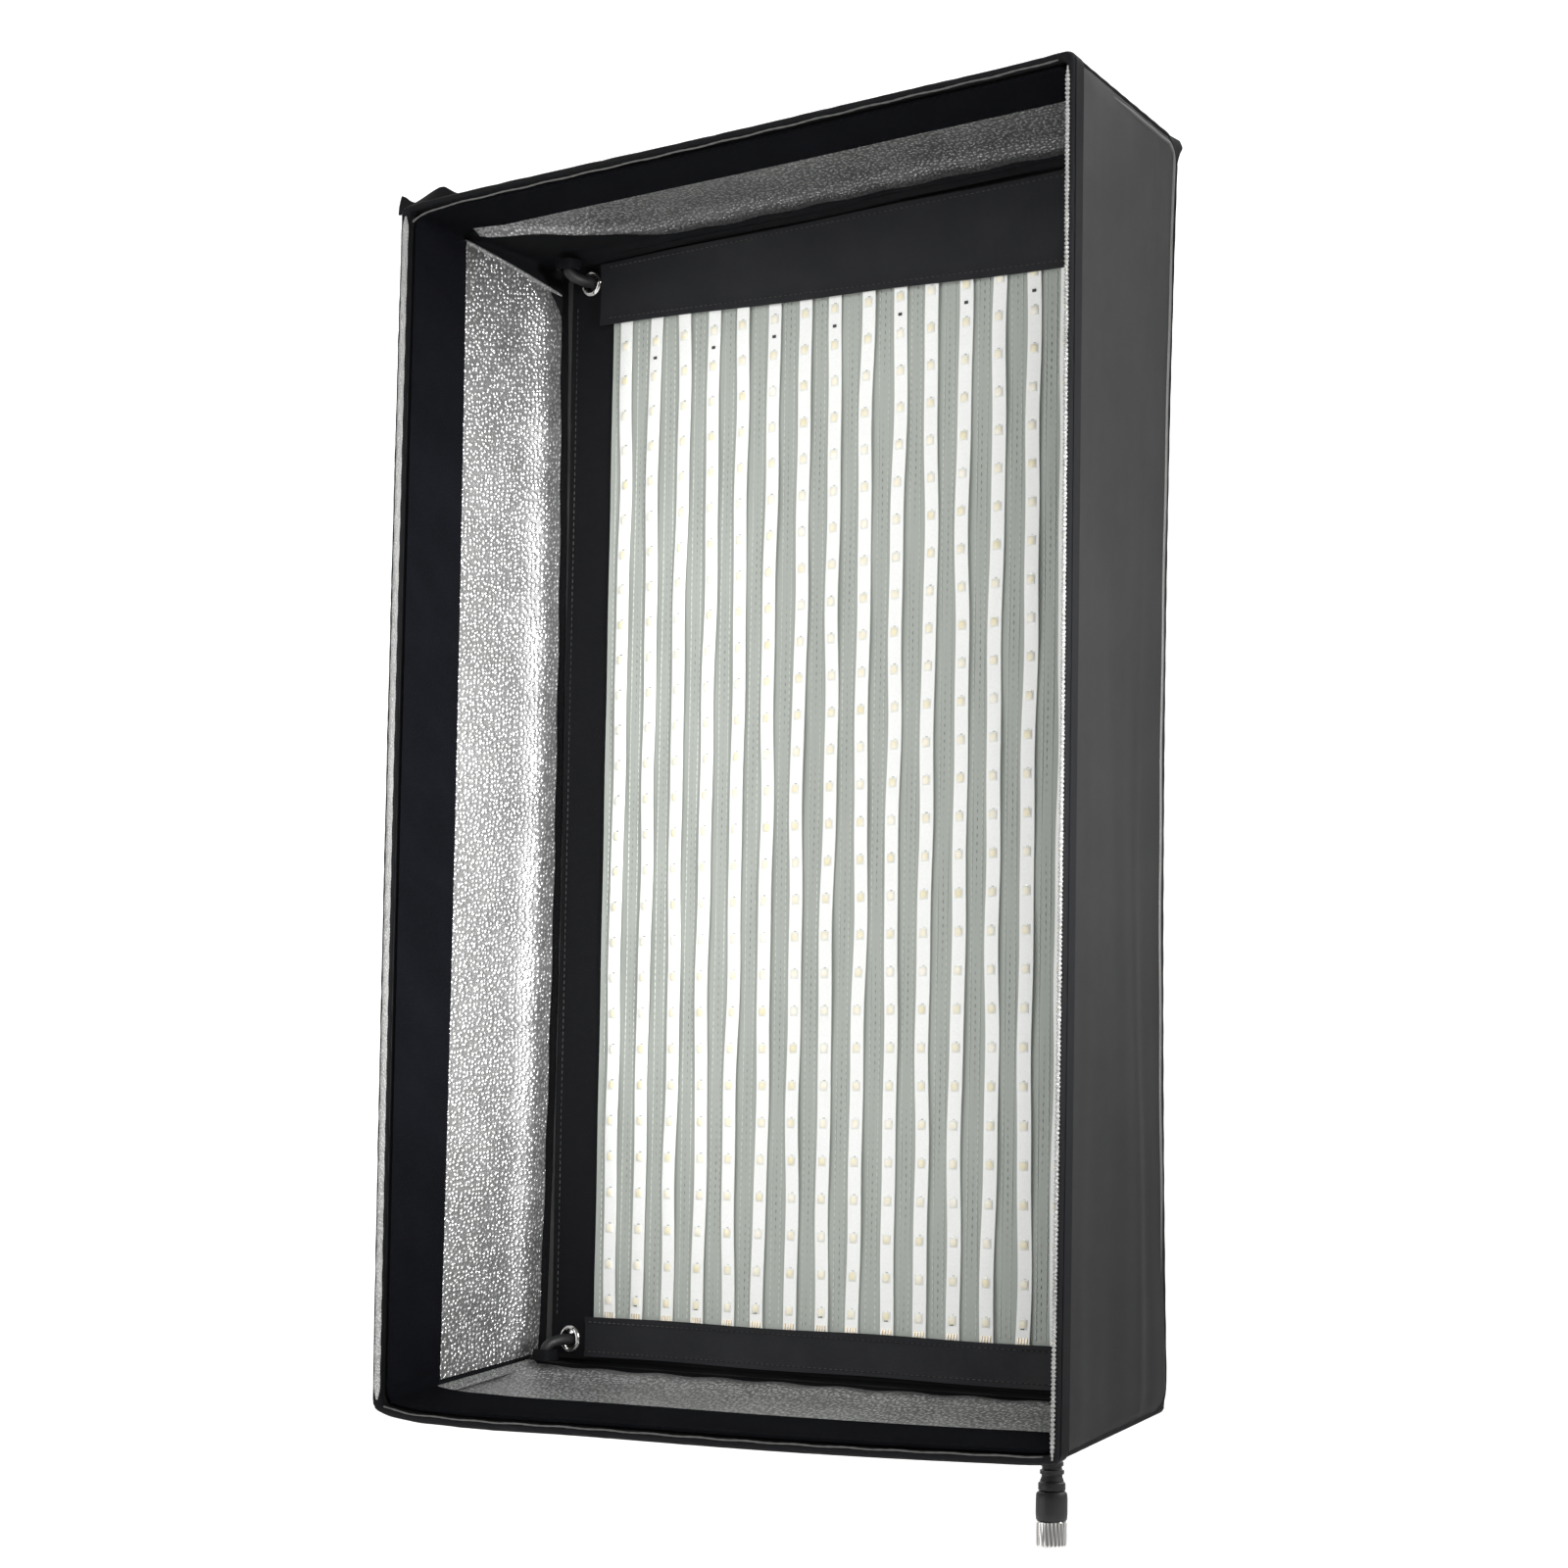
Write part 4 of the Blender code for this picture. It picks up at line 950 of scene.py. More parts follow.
class SOFTBOX_OT_lead(bpy.types.Operator):
    """Short round lead of the light mat, with its strain relief, boot and plug"""

    bl_idname = "softbox.lead"
    bl_label = "Lead and plug"

    def execute(self, context):
        s = context.scene.softbox_sizes
        jacket, plastic = finish("cable jacket"), finish("black plastic")
        route = through(lead_route(), 6)
        lead = build("lead", [tube(route, s.lead_width / 2, 24)])
        finish_piece(lead, "head", "cable", jacket, "lead_cable")

        x, z = LEAD_X, LEAD_Z
        flex = [(0.0006, -0.1441), (0.0098, -0.1441), (0.0106, -0.1436), (0.0108, -0.1428),
                (0.0104, -0.1419), (0.0066, -0.1412), (0.0060, -0.1402)]
        for k in range(6):
            start, r = -0.1398 + 0.0031 * k, 0.0059 - 0.00030 * k
            flex += [(r, start), (r, start + 0.0017), (r - 0.0009, start + 0.0020),
                     (r - 0.0009, start + 0.0028)]
        flex += [(0.0040, -0.1204), (0.0037, -0.1197), (0.0006, -0.1197)]
        gland = build("lead_strain_relief", [turned(flex, (x, 0, z), (0, 1, 0), 32)], 30)
        finish_piece(gland, "head", "cable", jacket, "lead_gland")

        boot = [(0.0006, 0.0), (0.0040, 0.0), (0.0045, -0.0004)]
        for k in range(5):
            z0, r = -0.0028 - 0.0040 * k, 0.0049 + 0.00028 * k
            boot += [(r - 0.0008, z0), (r, z0 - 0.0003), (r, z0 - 0.0022),
                     (r - 0.0008, z0 - 0.0025), (r - 0.0008, z0 - 0.0037)]
        boot += [(0.0059, -0.0240), (0.0059, -0.0245), (0.0006, -0.0245)]
        collar = [(0.0006, -0.0248), (0.0060, -0.0248), (0.0066, -0.0252), (0.0068, -0.0258),
                  (0.0068, -0.0286), (0.0065, -0.0290), (0.0006, -0.0290)]
        barrel = [(0.0006, -0.0293), (0.0064, -0.0293), (0.0073, -0.0299), (0.0077, -0.0308),
                  (0.0079, -0.0330), (0.0079, -0.0405), (0.0077, -0.0428), (0.0074, -0.0435),
                  (0.0006, -0.0435)]
        ring = [(0.0006, -0.0438, 0), (0.0072, -0.0438, 0), (0.0076, -0.0443, 0),
                (0.0076, -0.0449, 1), (0.0076, -0.0552, 1), (0.0076, -0.0558, 0),
                (0.0072, -0.0566, 0), (0.0062, -0.0566, 0), (0.0060, -0.0562, 0),
                (0.0060, -0.0510, 0), (0.0006, -0.0510, 0)]
        for name, profile, body, slot, look, node, extra in (
                ("plug_ribbed_boot", boot, "head", "cable", jacket, "plug_boot", {}),
                ("plug_neck", collar, "head", "plastic", plastic, "plug_collar", {}),
                ("plug_body", barrel, "head", "plastic", plastic, "plug_barrel", {}),
                ("plug_locking_ring", ring, "plug_ring", "nickel", finish("nickel"),
                 "plug_ring", {"lobes": 24, "lobe_depth": 0.00016})):
            item = build(name, [turned(profile, (x, PLUG_Y, PLUG_TOP), (0, 0, 1), 96,
                                       **extra)], 30)
            finish_piece(item, body, slot, look, node)
        return {"FINISHED"}


class SOFTBOX_OT_outer_walls(bpy.types.Operator):
    """Four outer walls of matte nylon, drawn in and creased"""

    bl_idname = "softbox.outer_walls"
    bl_label = "Outer walls"

    def execute(self, context):
        s = context.scene.softbox_sizes
        back = s.front_y + s.depth
        for side in WALLS:
            upright = side in ("left", "right")
            rounding = s.seam_round if upright else 0.0
            a, t = even_grid(260 if upright else 200, 90)
            grid = wall_points(s, side, a, t, s.front_y + 0.0002, back - 0.0001, 0.0009,
                               ends=0.0 if upright else 0.0016, rounding=rounding)
            grid = drape(s, grid)
            roll = -0.0014 * np.clip((t - 0.97) / 0.03, 0, 1) ** 2
            if upright:
                roll = roll - 0.0014 * np.clip((np.abs(a) - 0.988) / 0.012, 0, 1) ** 2
            fade = np.clip((1 - np.abs(a)) / 0.03, 0, 1)
            lift = creases(side, a, t) * fade + roll
            grid = grid + lift[..., None] * outward(side)
            item = build(f"outer_wall_{side}", cloth(grid, 0.0011), 50)
            finish_piece(item, "head", "nylon", finish("outer nylon"), f"shell_{side}_panel")
            if not upright:
                continue
            # The grey seam piping stops short of the bottom corner: painted highlight only where
            # the seam catches the light.
            t_run, a_run = np.linspace(0.38, 0.93, 40), np.linspace(0.984, -0.984, 200)
            a = np.concatenate([np.full(40, 0.984), a_run[1:180]])
            t = np.concatenate([t_run, np.full(179, 0.955)])
            path = drape(s, wall_points(s, side, a, t, s.front_y, back, 0.0009,
                                        rounding=rounding))
            fade = np.clip((1 - np.abs(a)) / 0.03, 0, 1)
            path += ((creases(side, a, t) * fade) + 0.0004)[:, None] * outward(side)
            thick = np.full(len(path), 0.0009)
            thick[:14] = np.linspace(0.0002, 0.0009, 14)
            thick[-14:] = np.linspace(0.0009, 0.0002, 14)
            piping = build(f"seam_piping_{side}", [tube(path, thick, 12)], 60)
            finish_piece(piping, "head", "nylon", finish("painted highlight piping"))
            t_run = np.linspace(0.10, 0.96, 50)
            a = np.concatenate([np.full(50, 0.9965), a_run[1:-1] * 1.0125, np.full(50, -0.9965)])
            t = np.concatenate([t_run, np.full(198, 0.985), t_run[::-1]])
            path = drape(s, wall_points(s, side, a, t, s.front_y, back, 0.0012,
                                        rounding=rounding))
            thick = 0.0012 * (1 + 0.06 * np.sin(np.arange(len(path)) * 1.1))
            rim = build(f"rim_binding_{side}", [tube(path, thick, 12)], 60)
            finish_piece(rim, "head", "binding", finish("edge tape"))
        return {"FINISHED"}


class SOFTBOX_OT_linings(bpy.types.Operator):
    """Four silver linings behind the loop band, rolled over at their back seams"""

    bl_idname = "softbox.linings"
    bl_label = "Silver linings"

    def execute(self, context):
        s = context.scene.softbox_sizes
        for side in WALLS:
            upright = side in ("left", "right")
            y0 = s.front_y + (s.loop_side if upright else s.loop_end) - 0.004
            y1 = s.front_y + s.depth - (0.0006 if upright else 0.0100 if side == "bottom"
                                        else 0.0165)
            a, t = even_grid(300 if upright else 220, 60)
            grid = wall_points(s, side, a, t, y0, y1, 0.0027,
                               ends=0.0034 if upright else 0.0036)
            if upright:
                grid[..., 2] -= (0.0105 * t**1.3 - 0.0005) * np.clip(a, 0, 1) ** 8
            elif side == "top":
                cut = smooth_through(a, *LINING_CUT)
                grid[..., 1] = y0 + (grid[..., 1] - y0) * (1 - cut)
                grid[..., 0] *= 1 - 0.055 * np.clip(np.abs(a), 0, 1) ** 6
            grid = drape(s, grid)
            roll = 0.0022 * bell(t, 0.84, 0.12)
            puff = 0.0006 * np.sin(9 * a + 1.0) * np.sin(math.pi * t) \
                + 0.0004 * np.sin(31 * a + 5 * t) * t
            fade = np.clip((1 - np.abs(a)) / 0.04, 0, 1)
            grid = grid - ((roll + puff * fade) * fade)[..., None] * outward(side)
            if upright:
                hem = grid[-1] - 0.0006 * outward(side) + np.array([0.0, 0.0, -0.0006])
                edge = build(f"lining_hem_{side}", [tube(hem[1:], 0.00105, 12)], 60)
                finish_piece(edge, "head", "lining", finish("seam film"))
            item = build(f"silver_lining_{side}", cloth(grid, 0.0007), 50)
            # The top lining gets the darkened film: painted shade.
            film = "painted shade ceiling film" if side == "top" else "silver lining"
            finish_piece(item, "head", "lining", finish(film), f"shell_{side}_lining")
        return {"FINISHED"}


class SOFTBOX_OT_front_edge(bpy.types.Operator):
    """Velvety loop band, bound edge tape and puckered silver edging of the open front"""

    bl_idname = "softbox.front_edge"
    bl_label = "Loop band and edge binding"

    def execute(self, context):
        s = context.scene.softbox_sizes
        y0, y1 = s.front_y + 0.0035, s.front_y + s.loop_side
        depths = np.linspace(y0, y1, 22)
        grid = ring_grid(s, [(y, 0.0046) for y in depths], corner=0.006, per_side=(160, 220))
        hx, hz = half_sides(s, grid[..., 1])
        level = np.clip((np.abs(grid[..., 2] - s.centre_z) / hz
                         - np.abs(grid[..., 0]) / hx) * 40, 0, 1)
        share = (s.loop_end - 0.0035) / (s.loop_side - 0.0035)
        grid[..., 1] = y0 + (grid[..., 1] - y0) * (1 + (share - 1) * level)
        grid = drape(s, grid)
        band = build("loop_band", cloth(grid, 0.0015, wrap_rows=True), 50)
        finish_piece(band, "head", "loop", finish("loop pile"), "front_loop_band")

        angle = np.arange(18) / 18 * 2 * math.pi
        stations = [(s.front_y + 0.0008 + 0.0029 * math.cos(k), 0.0015 - 0.0018 * math.sin(k))
                    for k in angle]
        grid = drape(s, ring_grid(s, stations, corner=0.004, per_side=(220, 320)))
        walked = arc_lengths(grid, 0, True)[:-1]
        middle = grid.mean(axis=1, keepdims=True)
        pucker = 1 + 0.07 * np.sin(walked / 0.0021 * 2 * math.pi) \
            * (0.6 + 0.4 * np.sin(walked * 90))
        grid = middle + (grid - middle) * pucker[..., None]
        tape = build("edge_tape", skin(grid, (True, True)), 60)
        finish_piece(tape, "head", "binding", finish("edge tape"), "front_edge_binding")

        stations = [(s.front_y + y, -0.0004) for y in np.linspace(0.0012, 0.0082, 6)]
        grid = drape(s, ring_grid(s, stations, corner=0.0045, per_side=(110, 160)))
        hem = build("hem_tape", cloth(grid, 0.0006, wrap_rows=True), 50)
        finish_piece(hem, "head", "binding", finish("edge tape"))

        # Thin grey beads along the top and bottom of the front edge: painted highlight of the edge
        # tape's fold.
        for side, sz in (("top", 1), ("bottom", -1)):
            x = np.linspace(-0.209, 0.209, 320)
            inset = 0.0040 - 0.0012 * x / 0.209 if sz > 0 else 0.0030 + 0 * x
            path = drape(s, points_at(x, s.front_y - 0.0008,
                                      s.centre_z + sz * (s.front_half_height - inset)))
            path[:, 2] += 0.0002 * np.sin(x * 210)
            if sz > 0:
                path[:, 2] -= 0.0040 * np.clip(-x / 0.209, 0, 1) ** 24
            thick = 0.00048 * (1 + 0.14 * np.sin(x / 0.0016 * 2 * math.pi))
            bead = build(f"edge_bead_{side}", [tube(path, thick, 10)], 60)
            finish_piece(bead, "head", "binding", finish("painted highlight piping"))

        for side, sx in (("left", -1), ("right", 1)):
            low, high = -0.3115, 0.3035
            z = np.linspace(low, high, 900)
            w = z / s.front_half_height
            hx = s.front_half_width - (0.0040 if sx < 0 else 0.0017)
            angle = np.arange(12) / 12 * 2 * math.pi
            knurl = 0.06 if sx < 0 else 0.42
            gather_up = 1 + knurl * np.sin(z / 0.0019 * 2 * math.pi + 1.2 * np.sin(z * 160)) \
                + 0.07 * np.sin(z * 410)
            ends = np.clip(np.minimum(high - z, z - low) / 0.005, 0.15, 1) ** 0.5
            wide, thick = (0.00220, 0.0006) if sx < 0 else (0.00090, 0.0009)
            across = wide * np.cos(angle)[None] * (gather_up * ends)[:, None]
            deep = thick * np.sin(angle)[None] * (gather_up * ends)[:, None]
            grid = points_at(sx * hx + across, s.front_y - 0.0023 + deep,
                             (s.centre_z + z)[:, None])
            bow = -0.0012 * (1 - w**2)
            grid[..., 0] -= sx * bow[:, None]
            strip = build(f"silver_edging_{side}", skin(grid, (False, True), (True, True)), 60)
            finish_piece(strip, "head", "lining", finish("silver edging"))
        return {"FINISHED"}


class SOFTBOX_OT_rear_edge(bpy.types.Operator):
    """Rear flange, and the corner sleeves that take the rods' ends"""

    bl_idname = "softbox.rear_edge"
    bl_label = "Rear flange and corners"

    def execute(self, context):
        s = context.scene.softbox_sizes
        back = s.front_y + s.depth + 0.0011
        share = np.linspace(0, 1, 9)
        stations = [(back, (0.0034 + 0.0206 * k, 0.0018 + 0.0152 * k)) for k in share]
        grid = drape(s, ring_grid(s, stations, corner=0.0012, per_side=(90, 130)))
        walked = arc_lengths(grid, 0, True)[:-1]
        grid[..., 1] += 0.0002 * np.sin(walked * 130)
        flange = build("rear_flange_tape", cloth(grid, 0.0012, wrap_rows=True), 50)
        finish_piece(flange, "head", "webbing", finish("grey webbing"), "rear_flange")

        for tag, _, sz in CORNERS:
            low, high = (np.array(c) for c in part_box(f"corner_pocket_{tag}"))
            centre, half = (low + high) / 2, (high - low) / 2
            half *= (0.72, 0.72, 0.9)
            angle = np.arange(40) / 40 * 2 * math.pi
            cos_a, sin_a = np.cos(angle), np.sin(angle)
            loop = np.stack([np.sign(cos_a) * np.abs(cos_a) ** 0.62 * half[0],
                             np.sign(sin_a) * np.abs(sin_a) ** 0.62 * half[1]], axis=1)
            hole = np.stack([cos_a, sin_a], axis=1) * 0.0042
            runs = ((1.0, loop * 0.55), (1.0, loop * 0.9), (0.9, loop), (0.0, loop * 0.97),
                    (-0.9, loop * 0.9), (-1.0, loop * 0.84), (-1.0, hole * 1.08),
                    (-0.94, hole), (0.55, hole), (0.58, hole * 0.6))
            grid = np.stack([points_at(centre[0] + flat[:, 0], centre[1] + flat[:, 1],
                                       centre[2] + sz * k * half[2]) for k, flat in runs])
            sleeve = build(f"corner_sleeve_{tag}", skin(grid, (False, True), (True, True)), 45)
            finish_piece(sleeve, "head", "webbing", finish("mat cloth"),
                         f"corner_pocket_{tag}")
        return {"FINISHED"}


class SOFTBOX_OT_corner_folds(bpy.types.Operator):
    """Black seam backing behind the linings, and the folded ears of the corners"""

    bl_idname = "softbox.corner_folds"
    bl_label = "Seam backing and corner folds"

    def execute(self, context):
        s = context.scene.softbox_sizes
        back = s.front_y + s.depth
        stations = [(y, 0.0020) for y in np.linspace(s.front_y + 0.026, back - 0.0006, 40)]
        stations += [(back + 0.0001, 0.0028), (back + 0.0001, 0.0052), (back + 0.0001, 0.0080)]
        grid = ring_grid(s, stations, corner=0.003, per_side=(120, 160))
        hx, hz = half_sides(s, grid[..., 1])
        over = np.clip(((grid[..., 2] - s.centre_z) / hz - 0.985) / 0.01, 0, 1) \
            * np.clip((1 - np.abs(grid[..., 0]) / hx) / 0.06, 0, 1)
        way = grid[..., 1] + 0.0012 * np.sin(grid[..., 0] * 19)
        folds = 0.0030 * bell(way, back - 0.0125, 0.0016) \
            + 0.0042 * bell(way, back - 0.0066, 0.0020) + 0.0012 * bell(way, back, 0.002)
        grid[..., 2] -= over * folds
        grid = drape(s, grid)
        backing = build("seam_backing", cloth(grid, 0.0004, wrap_rows=True), 50)
        finish_piece(backing, "head", "nylon", finish("mat cloth"))

        for tag, sx, gain in (("left", -1, 1.0), ("right", 1, 0.18)):
            a, v = np.meshgrid(np.linspace(0, 1, 60), np.linspace(0, 1, 12), indexing="ij")
            rise = np.interp(a, (0, 0.06, 0.13, 0.20, 0.36, 0.60, 0.67, 0.80, 0.92, 1.0),
                             (7.6, 6.4, 3.8, 2.4, 4.2, 7.4, 7.2, 3.4, 0.8, -0.6)) \
                * 0.001 * gain
            x = sx * (s.front_half_width + (0.0070 if sx < 0 else -0.0040) - 0.049 * a)
            z = s.centre_z + s.front_half_height - 0.0030 + (rise + 0.0030) * v
            y = s.front_y + 0.0030 + 0.0020 * v**2 + 0.0006 * np.sin(9 * a)
            fold = build(f"front_ear_{tag}", cloth(points_at(x, y, z), 0.0010), 50)
            finish_piece(fold, "head", "nylon", finish("edge tape"))

            u, v = np.meshgrid(np.linspace(0, 1, 40), np.linspace(0, 1, 14), indexing="ij")
            reach = smooth_through(u, (0, 0.10, 0.22, 0.5, 1.0),
                                   (5.5, 7.2, 5.0, 2.8, -1.0)) * 0.001
            hx = s.back_half_width - 0.0022
            x = sx * (hx + 0.0006 * np.sin(7 * u) - 0.0020 * v)
            y = s.front_y + s.depth - 0.0075 + (0.0075 + reach) * v
            z = s.centre_z + s.back_half_height + 0.0008 - 0.029 * u
            ear = build(f"back_ear_{tag}", cloth(points_at(x, y, z), 0.0009), 50)
            finish_piece(ear, "head", "webbing", finish("edge tape"))
        return {"FINISHED"}


def past_holes(low, high, count, centre, half):
    """Even stations from low to high with one at each rim of the two holes, which are
    centred at plus and minus centre, and none inside them."""
    rims = [[k * centre - half, k * centre + half] for k in (-1, 1)]
    line = np.unique(np.concatenate([np.linspace(low, high, count)] + rims))
    return line[np.abs(np.abs(line) - centre) >= half - 1e-6]


class SOFTBOX_OT_mat(bpy.types.Operator):
    """Black mat cloth with its eyelet holes, and the grey field cloth sewn on it"""

    bl_idname = "softbox.mat"
    bl_label = "Mat and field cloth"

    def execute(self, context):
        s = context.scene.softbox_sizes
        low, high = (Vector(c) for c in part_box("mat_base_cloth"))
        hole = 0.0048
        xs = past_holes(low.x, high.x, 76, EYELET_X, hole)
        zs = past_holes(-MAT_HALF_HEIGHT, MAT_HALF_HEIGHT, 110, EYELET_Z, hole)
        x, z = np.meshgrid(xs, zs, indexing="ij")
        u, w = x / MAT_HALF_WIDTH, z / MAT_HALF_HEIGHT
        ripple = 0.00035 * np.sin(9 * w + 3 * u) * np.abs(u) ** 8 \
            + 0.0002 * np.sin(14 * u + 2 * w) * np.abs(w) ** 8
        corner = 0.004
        cut = np.clip(np.abs(x) - (MAT_HALF_WIDTH - corner), 0, None) \
            + np.clip(np.abs(z) - (MAT_HALF_HEIGHT - corner), 0, None)
        slip = np.clip(cut - corner, 0, None) / 2
        grid = points_at(x - np.sign(x) * slip, MAT_Y + ripple,
                         s.centre_z + z - np.sign(z) * slip)
        mid_x, mid_z = (xs[1:] + xs[:-1]) / 2, (zs[1:] + zs[:-1]) / 2
        hit_x = np.abs(np.abs(mid_x) - EYELET_X) < hole
        hit_z = np.abs(np.abs(mid_z) - EYELET_Z) < hole
        keep = ~(hit_x[:, None] & hit_z[None, :])
        mat = build("mat_cloth", cloth(grid, 0.0019, keep=keep), 50)
        finish_piece(mat, "head", "mat_cloth", finish("mat cloth"), "mat_base_cloth")

        x, z = np.meshgrid(np.linspace(-0.156, 0.156, 240), np.linspace(-0.284, 0.262, 160),
                           indexing="ij")
        phase = (x + 0.1449) / s.strip_pitch * 2 * math.pi
        puff = 0.00016 * np.cos(phase) + 0.00012 * np.sin(z * 70 + 3 * np.sin(phase / 3))
        grid = points_at(x, FIELD_Y + puff, s.centre_z + z)
        field = build("field_cloth", cloth(grid, 0.0006), 50)
        finish_piece(field, "head", "field_cloth", finish("field cloth"), "mat_field_cloth")
        return {"FINISHED"}


def strip_shift(index, z):
    """Sideways wander of a strip in metres: three slow sines of the height, their phases
    set by the strip's number."""
    return (0.00050 * np.sin(z * 17 + 1.9 * index) + 0.00042 * np.sin(z * 41 + 2.7 * index + 1)
            + 0.00022 * np.sin(z * 83 + 4.1 * index))


def strip_lift(index, z):
    """How far a strip stands off the cloth in metres, always forwards."""
    return 0.00028 * (1 + np.sin(z * 29 + 3.3 * index)) \
        + 0.00018 * (1 + np.sin(z * 67 + 1.1 * index))


def stepped(outline, levels):
    """Small closed body: a flat outline drawn at each level's share of its size and at
    the level's height."""
    grid = np.stack([points_at(*(outline * share).T, height) for share, height in levels])
    return skin(grid, (False, True), (True, True))


def on_strips(s, places, index, z, shift=0.0):
    """Points on the faces of the strips: each strip's middle line, which wanders and
    stands off the cloth, at heights z."""
    return points_at(places[index] + strip_shift(index, z) + shift,
                     STRIP_Y - strip_lift(index, z) - STRIP_FACE, s.centre_z + z)


class SOFTBOX_OT_light_strips(bpy.types.Operator):
    """Fifteen wavy white strips with their light chips, resistors and solder pads"""

    bl_idname = "softbox.light_strips"
    bl_label = "Light strips and chips"

    def execute(self, context):
        s = context.scene.softbox_sizes
        middle = (s.strip_count - 1) / 2
        places = (np.arange(s.strip_count) - middle) * s.strip_pitch
        z = np.linspace(-0.284, 0.260, 170)
        v = np.linspace(-1, 1, 5)
        shapes = []
        for k, x in enumerate(places):
            edge = x + strip_shift(k, z)[:, None] + v[None] * s.strip_width / 2
            front = STRIP_Y - strip_lift(k, z)[:, None] * (1 - 0.25 * v[None] ** 2)
            grid = points_at(edge, front, (s.centre_z + z)[:, None])
            shapes.append(cloth(grid, 2 * STRIP_FACE))
        strips = build("light_strip_set", shapes, 45)
        finish_piece(strips, "head", "led_strip", finish("strip board"), "led_strips")

        rows = 0.2432 - s.chip_pitch * np.arange(s.chip_count)
        kk, zz = np.meshgrid(np.arange(s.strip_count), rows, indexing="ij")
        kk, zz = kk.ravel(), zz.ravel()
        centres = on_strips(s, places, kk, zz)
        frames = np.broadcast_to(np.array([[1, 0, 0], [0, 0, -1], [0, 1, 0]], float),
                                 (len(kk), 3, 3))
        package = stepped(SQUARE * [0.00235, 0.00240],
                          ((1.0, -0.0001), (1.0, 0.00025), (0.93, 0.00033)))
        chips = build("chip_packages", repeat(package, centres, frames), 30)
        finish_piece(chips, "head", "led_strip", finish("chip package"))
        turn = np.arange(14) / 14 * 2 * math.pi
        rim = np.stack([np.cos(turn), np.sin(turn)], axis=1) * 0.00215
        dome = stepped(rim, ((1.0, 0.0002), (0.97, 0.00058), (0.6, 0.00082)))
        domes = build("chip_phosphor", repeat(dome, centres, frames), 30)
        finish_piece(domes, "head", "led_strip", finish("phosphor"))
        tab = stepped(SQUARE * [0.00075, 0.00030] + [0.0003, 0.00268],
                      ((1.0, 0.0), (1.0, 0.0002)))
        terminals = build("chip_terminals", repeat(tab, centres, frames), 30)
        finish_piece(terminals, "head", "led_strip", finish("chip terminal"))

        kk, zz = np.meshgrid(np.arange(1, s.strip_count, 2), (0.2343, -0.2620),
                             indexing="ij")
        kk, zz = kk.ravel(), zz.ravel()
        resistor = stepped(SQUARE * [0.0010, 0.0007],
                           ((1.0, -0.0001), (1.0, 0.0005), (0.9, 0.0006)))
        resistors = build("strip_resistors", repeat(
            resistor, on_strips(s, places, kk, zz), frames[:len(kk)]), 30)
        finish_piece(resistors, "head", "led_strip", finish("black plastic"))

        kk, slot = np.meshgrid(np.arange(s.strip_count), np.arange(4), indexing="ij")
        kk, slot = kk.ravel(), slot.ravel()
        pad = stepped(SQUARE * [0.00042, 0.0019],
                      ((1.0, -0.0001), (1.0, 0.0001), (0.6, 0.0003)))
        pads = build("solder_pads", repeat(
            pad, on_strips(s, places, kk, -0.2685, (slot - 1.5) * 0.0017),
            frames[:len(kk)]), 30)
        finish_piece(pads, "head", "led_strip", finish("solder"))
        return {"FINISHED"}


class SOFTBOX_OT_mat_bands(bpy.types.Operator):
    """Header and lower bands that hold the strips' ends on the mat"""

    bl_idname = "softbox.mat_bands"
    bl_label = "Mat bands"

    def execute(self, context):
        s = context.scene.softbox_sizes
        for name, node, low, high in (("header_band", "mat_header_band", 0.2475, 0.290),
                                      ("lower_band", "mat_lower_band", -0.290, -0.271)):
            x, share = even_grid(150, 16)
            x = x * (0.164 if name == "header_band" else 0.160)
            tilt = 0.0019 - 0.0474 * x if name == "header_band" else 0.0015
            z = low + (high - low) * share + tilt * (1 - share if name == "header_band"
                                                     else share)
            hem = 0.0004 * (bell(share, 0.0, 0.12) + bell(share, 1.0, 0.12))
            wave = 0.00025 * np.sin(x * 60 + 2) * np.sin(math.pi * share)
            grid = points_at(x, BAND_Y - hem - wave,
                             s.centre_z + z + 0.0003 * np.sin(x * 45))
            band = build(name, cloth(grid, 0.0009), 45)
            finish_piece(band, "head", "mat_cloth", finish("band cloth"), node)
        return {"FINISHED"}


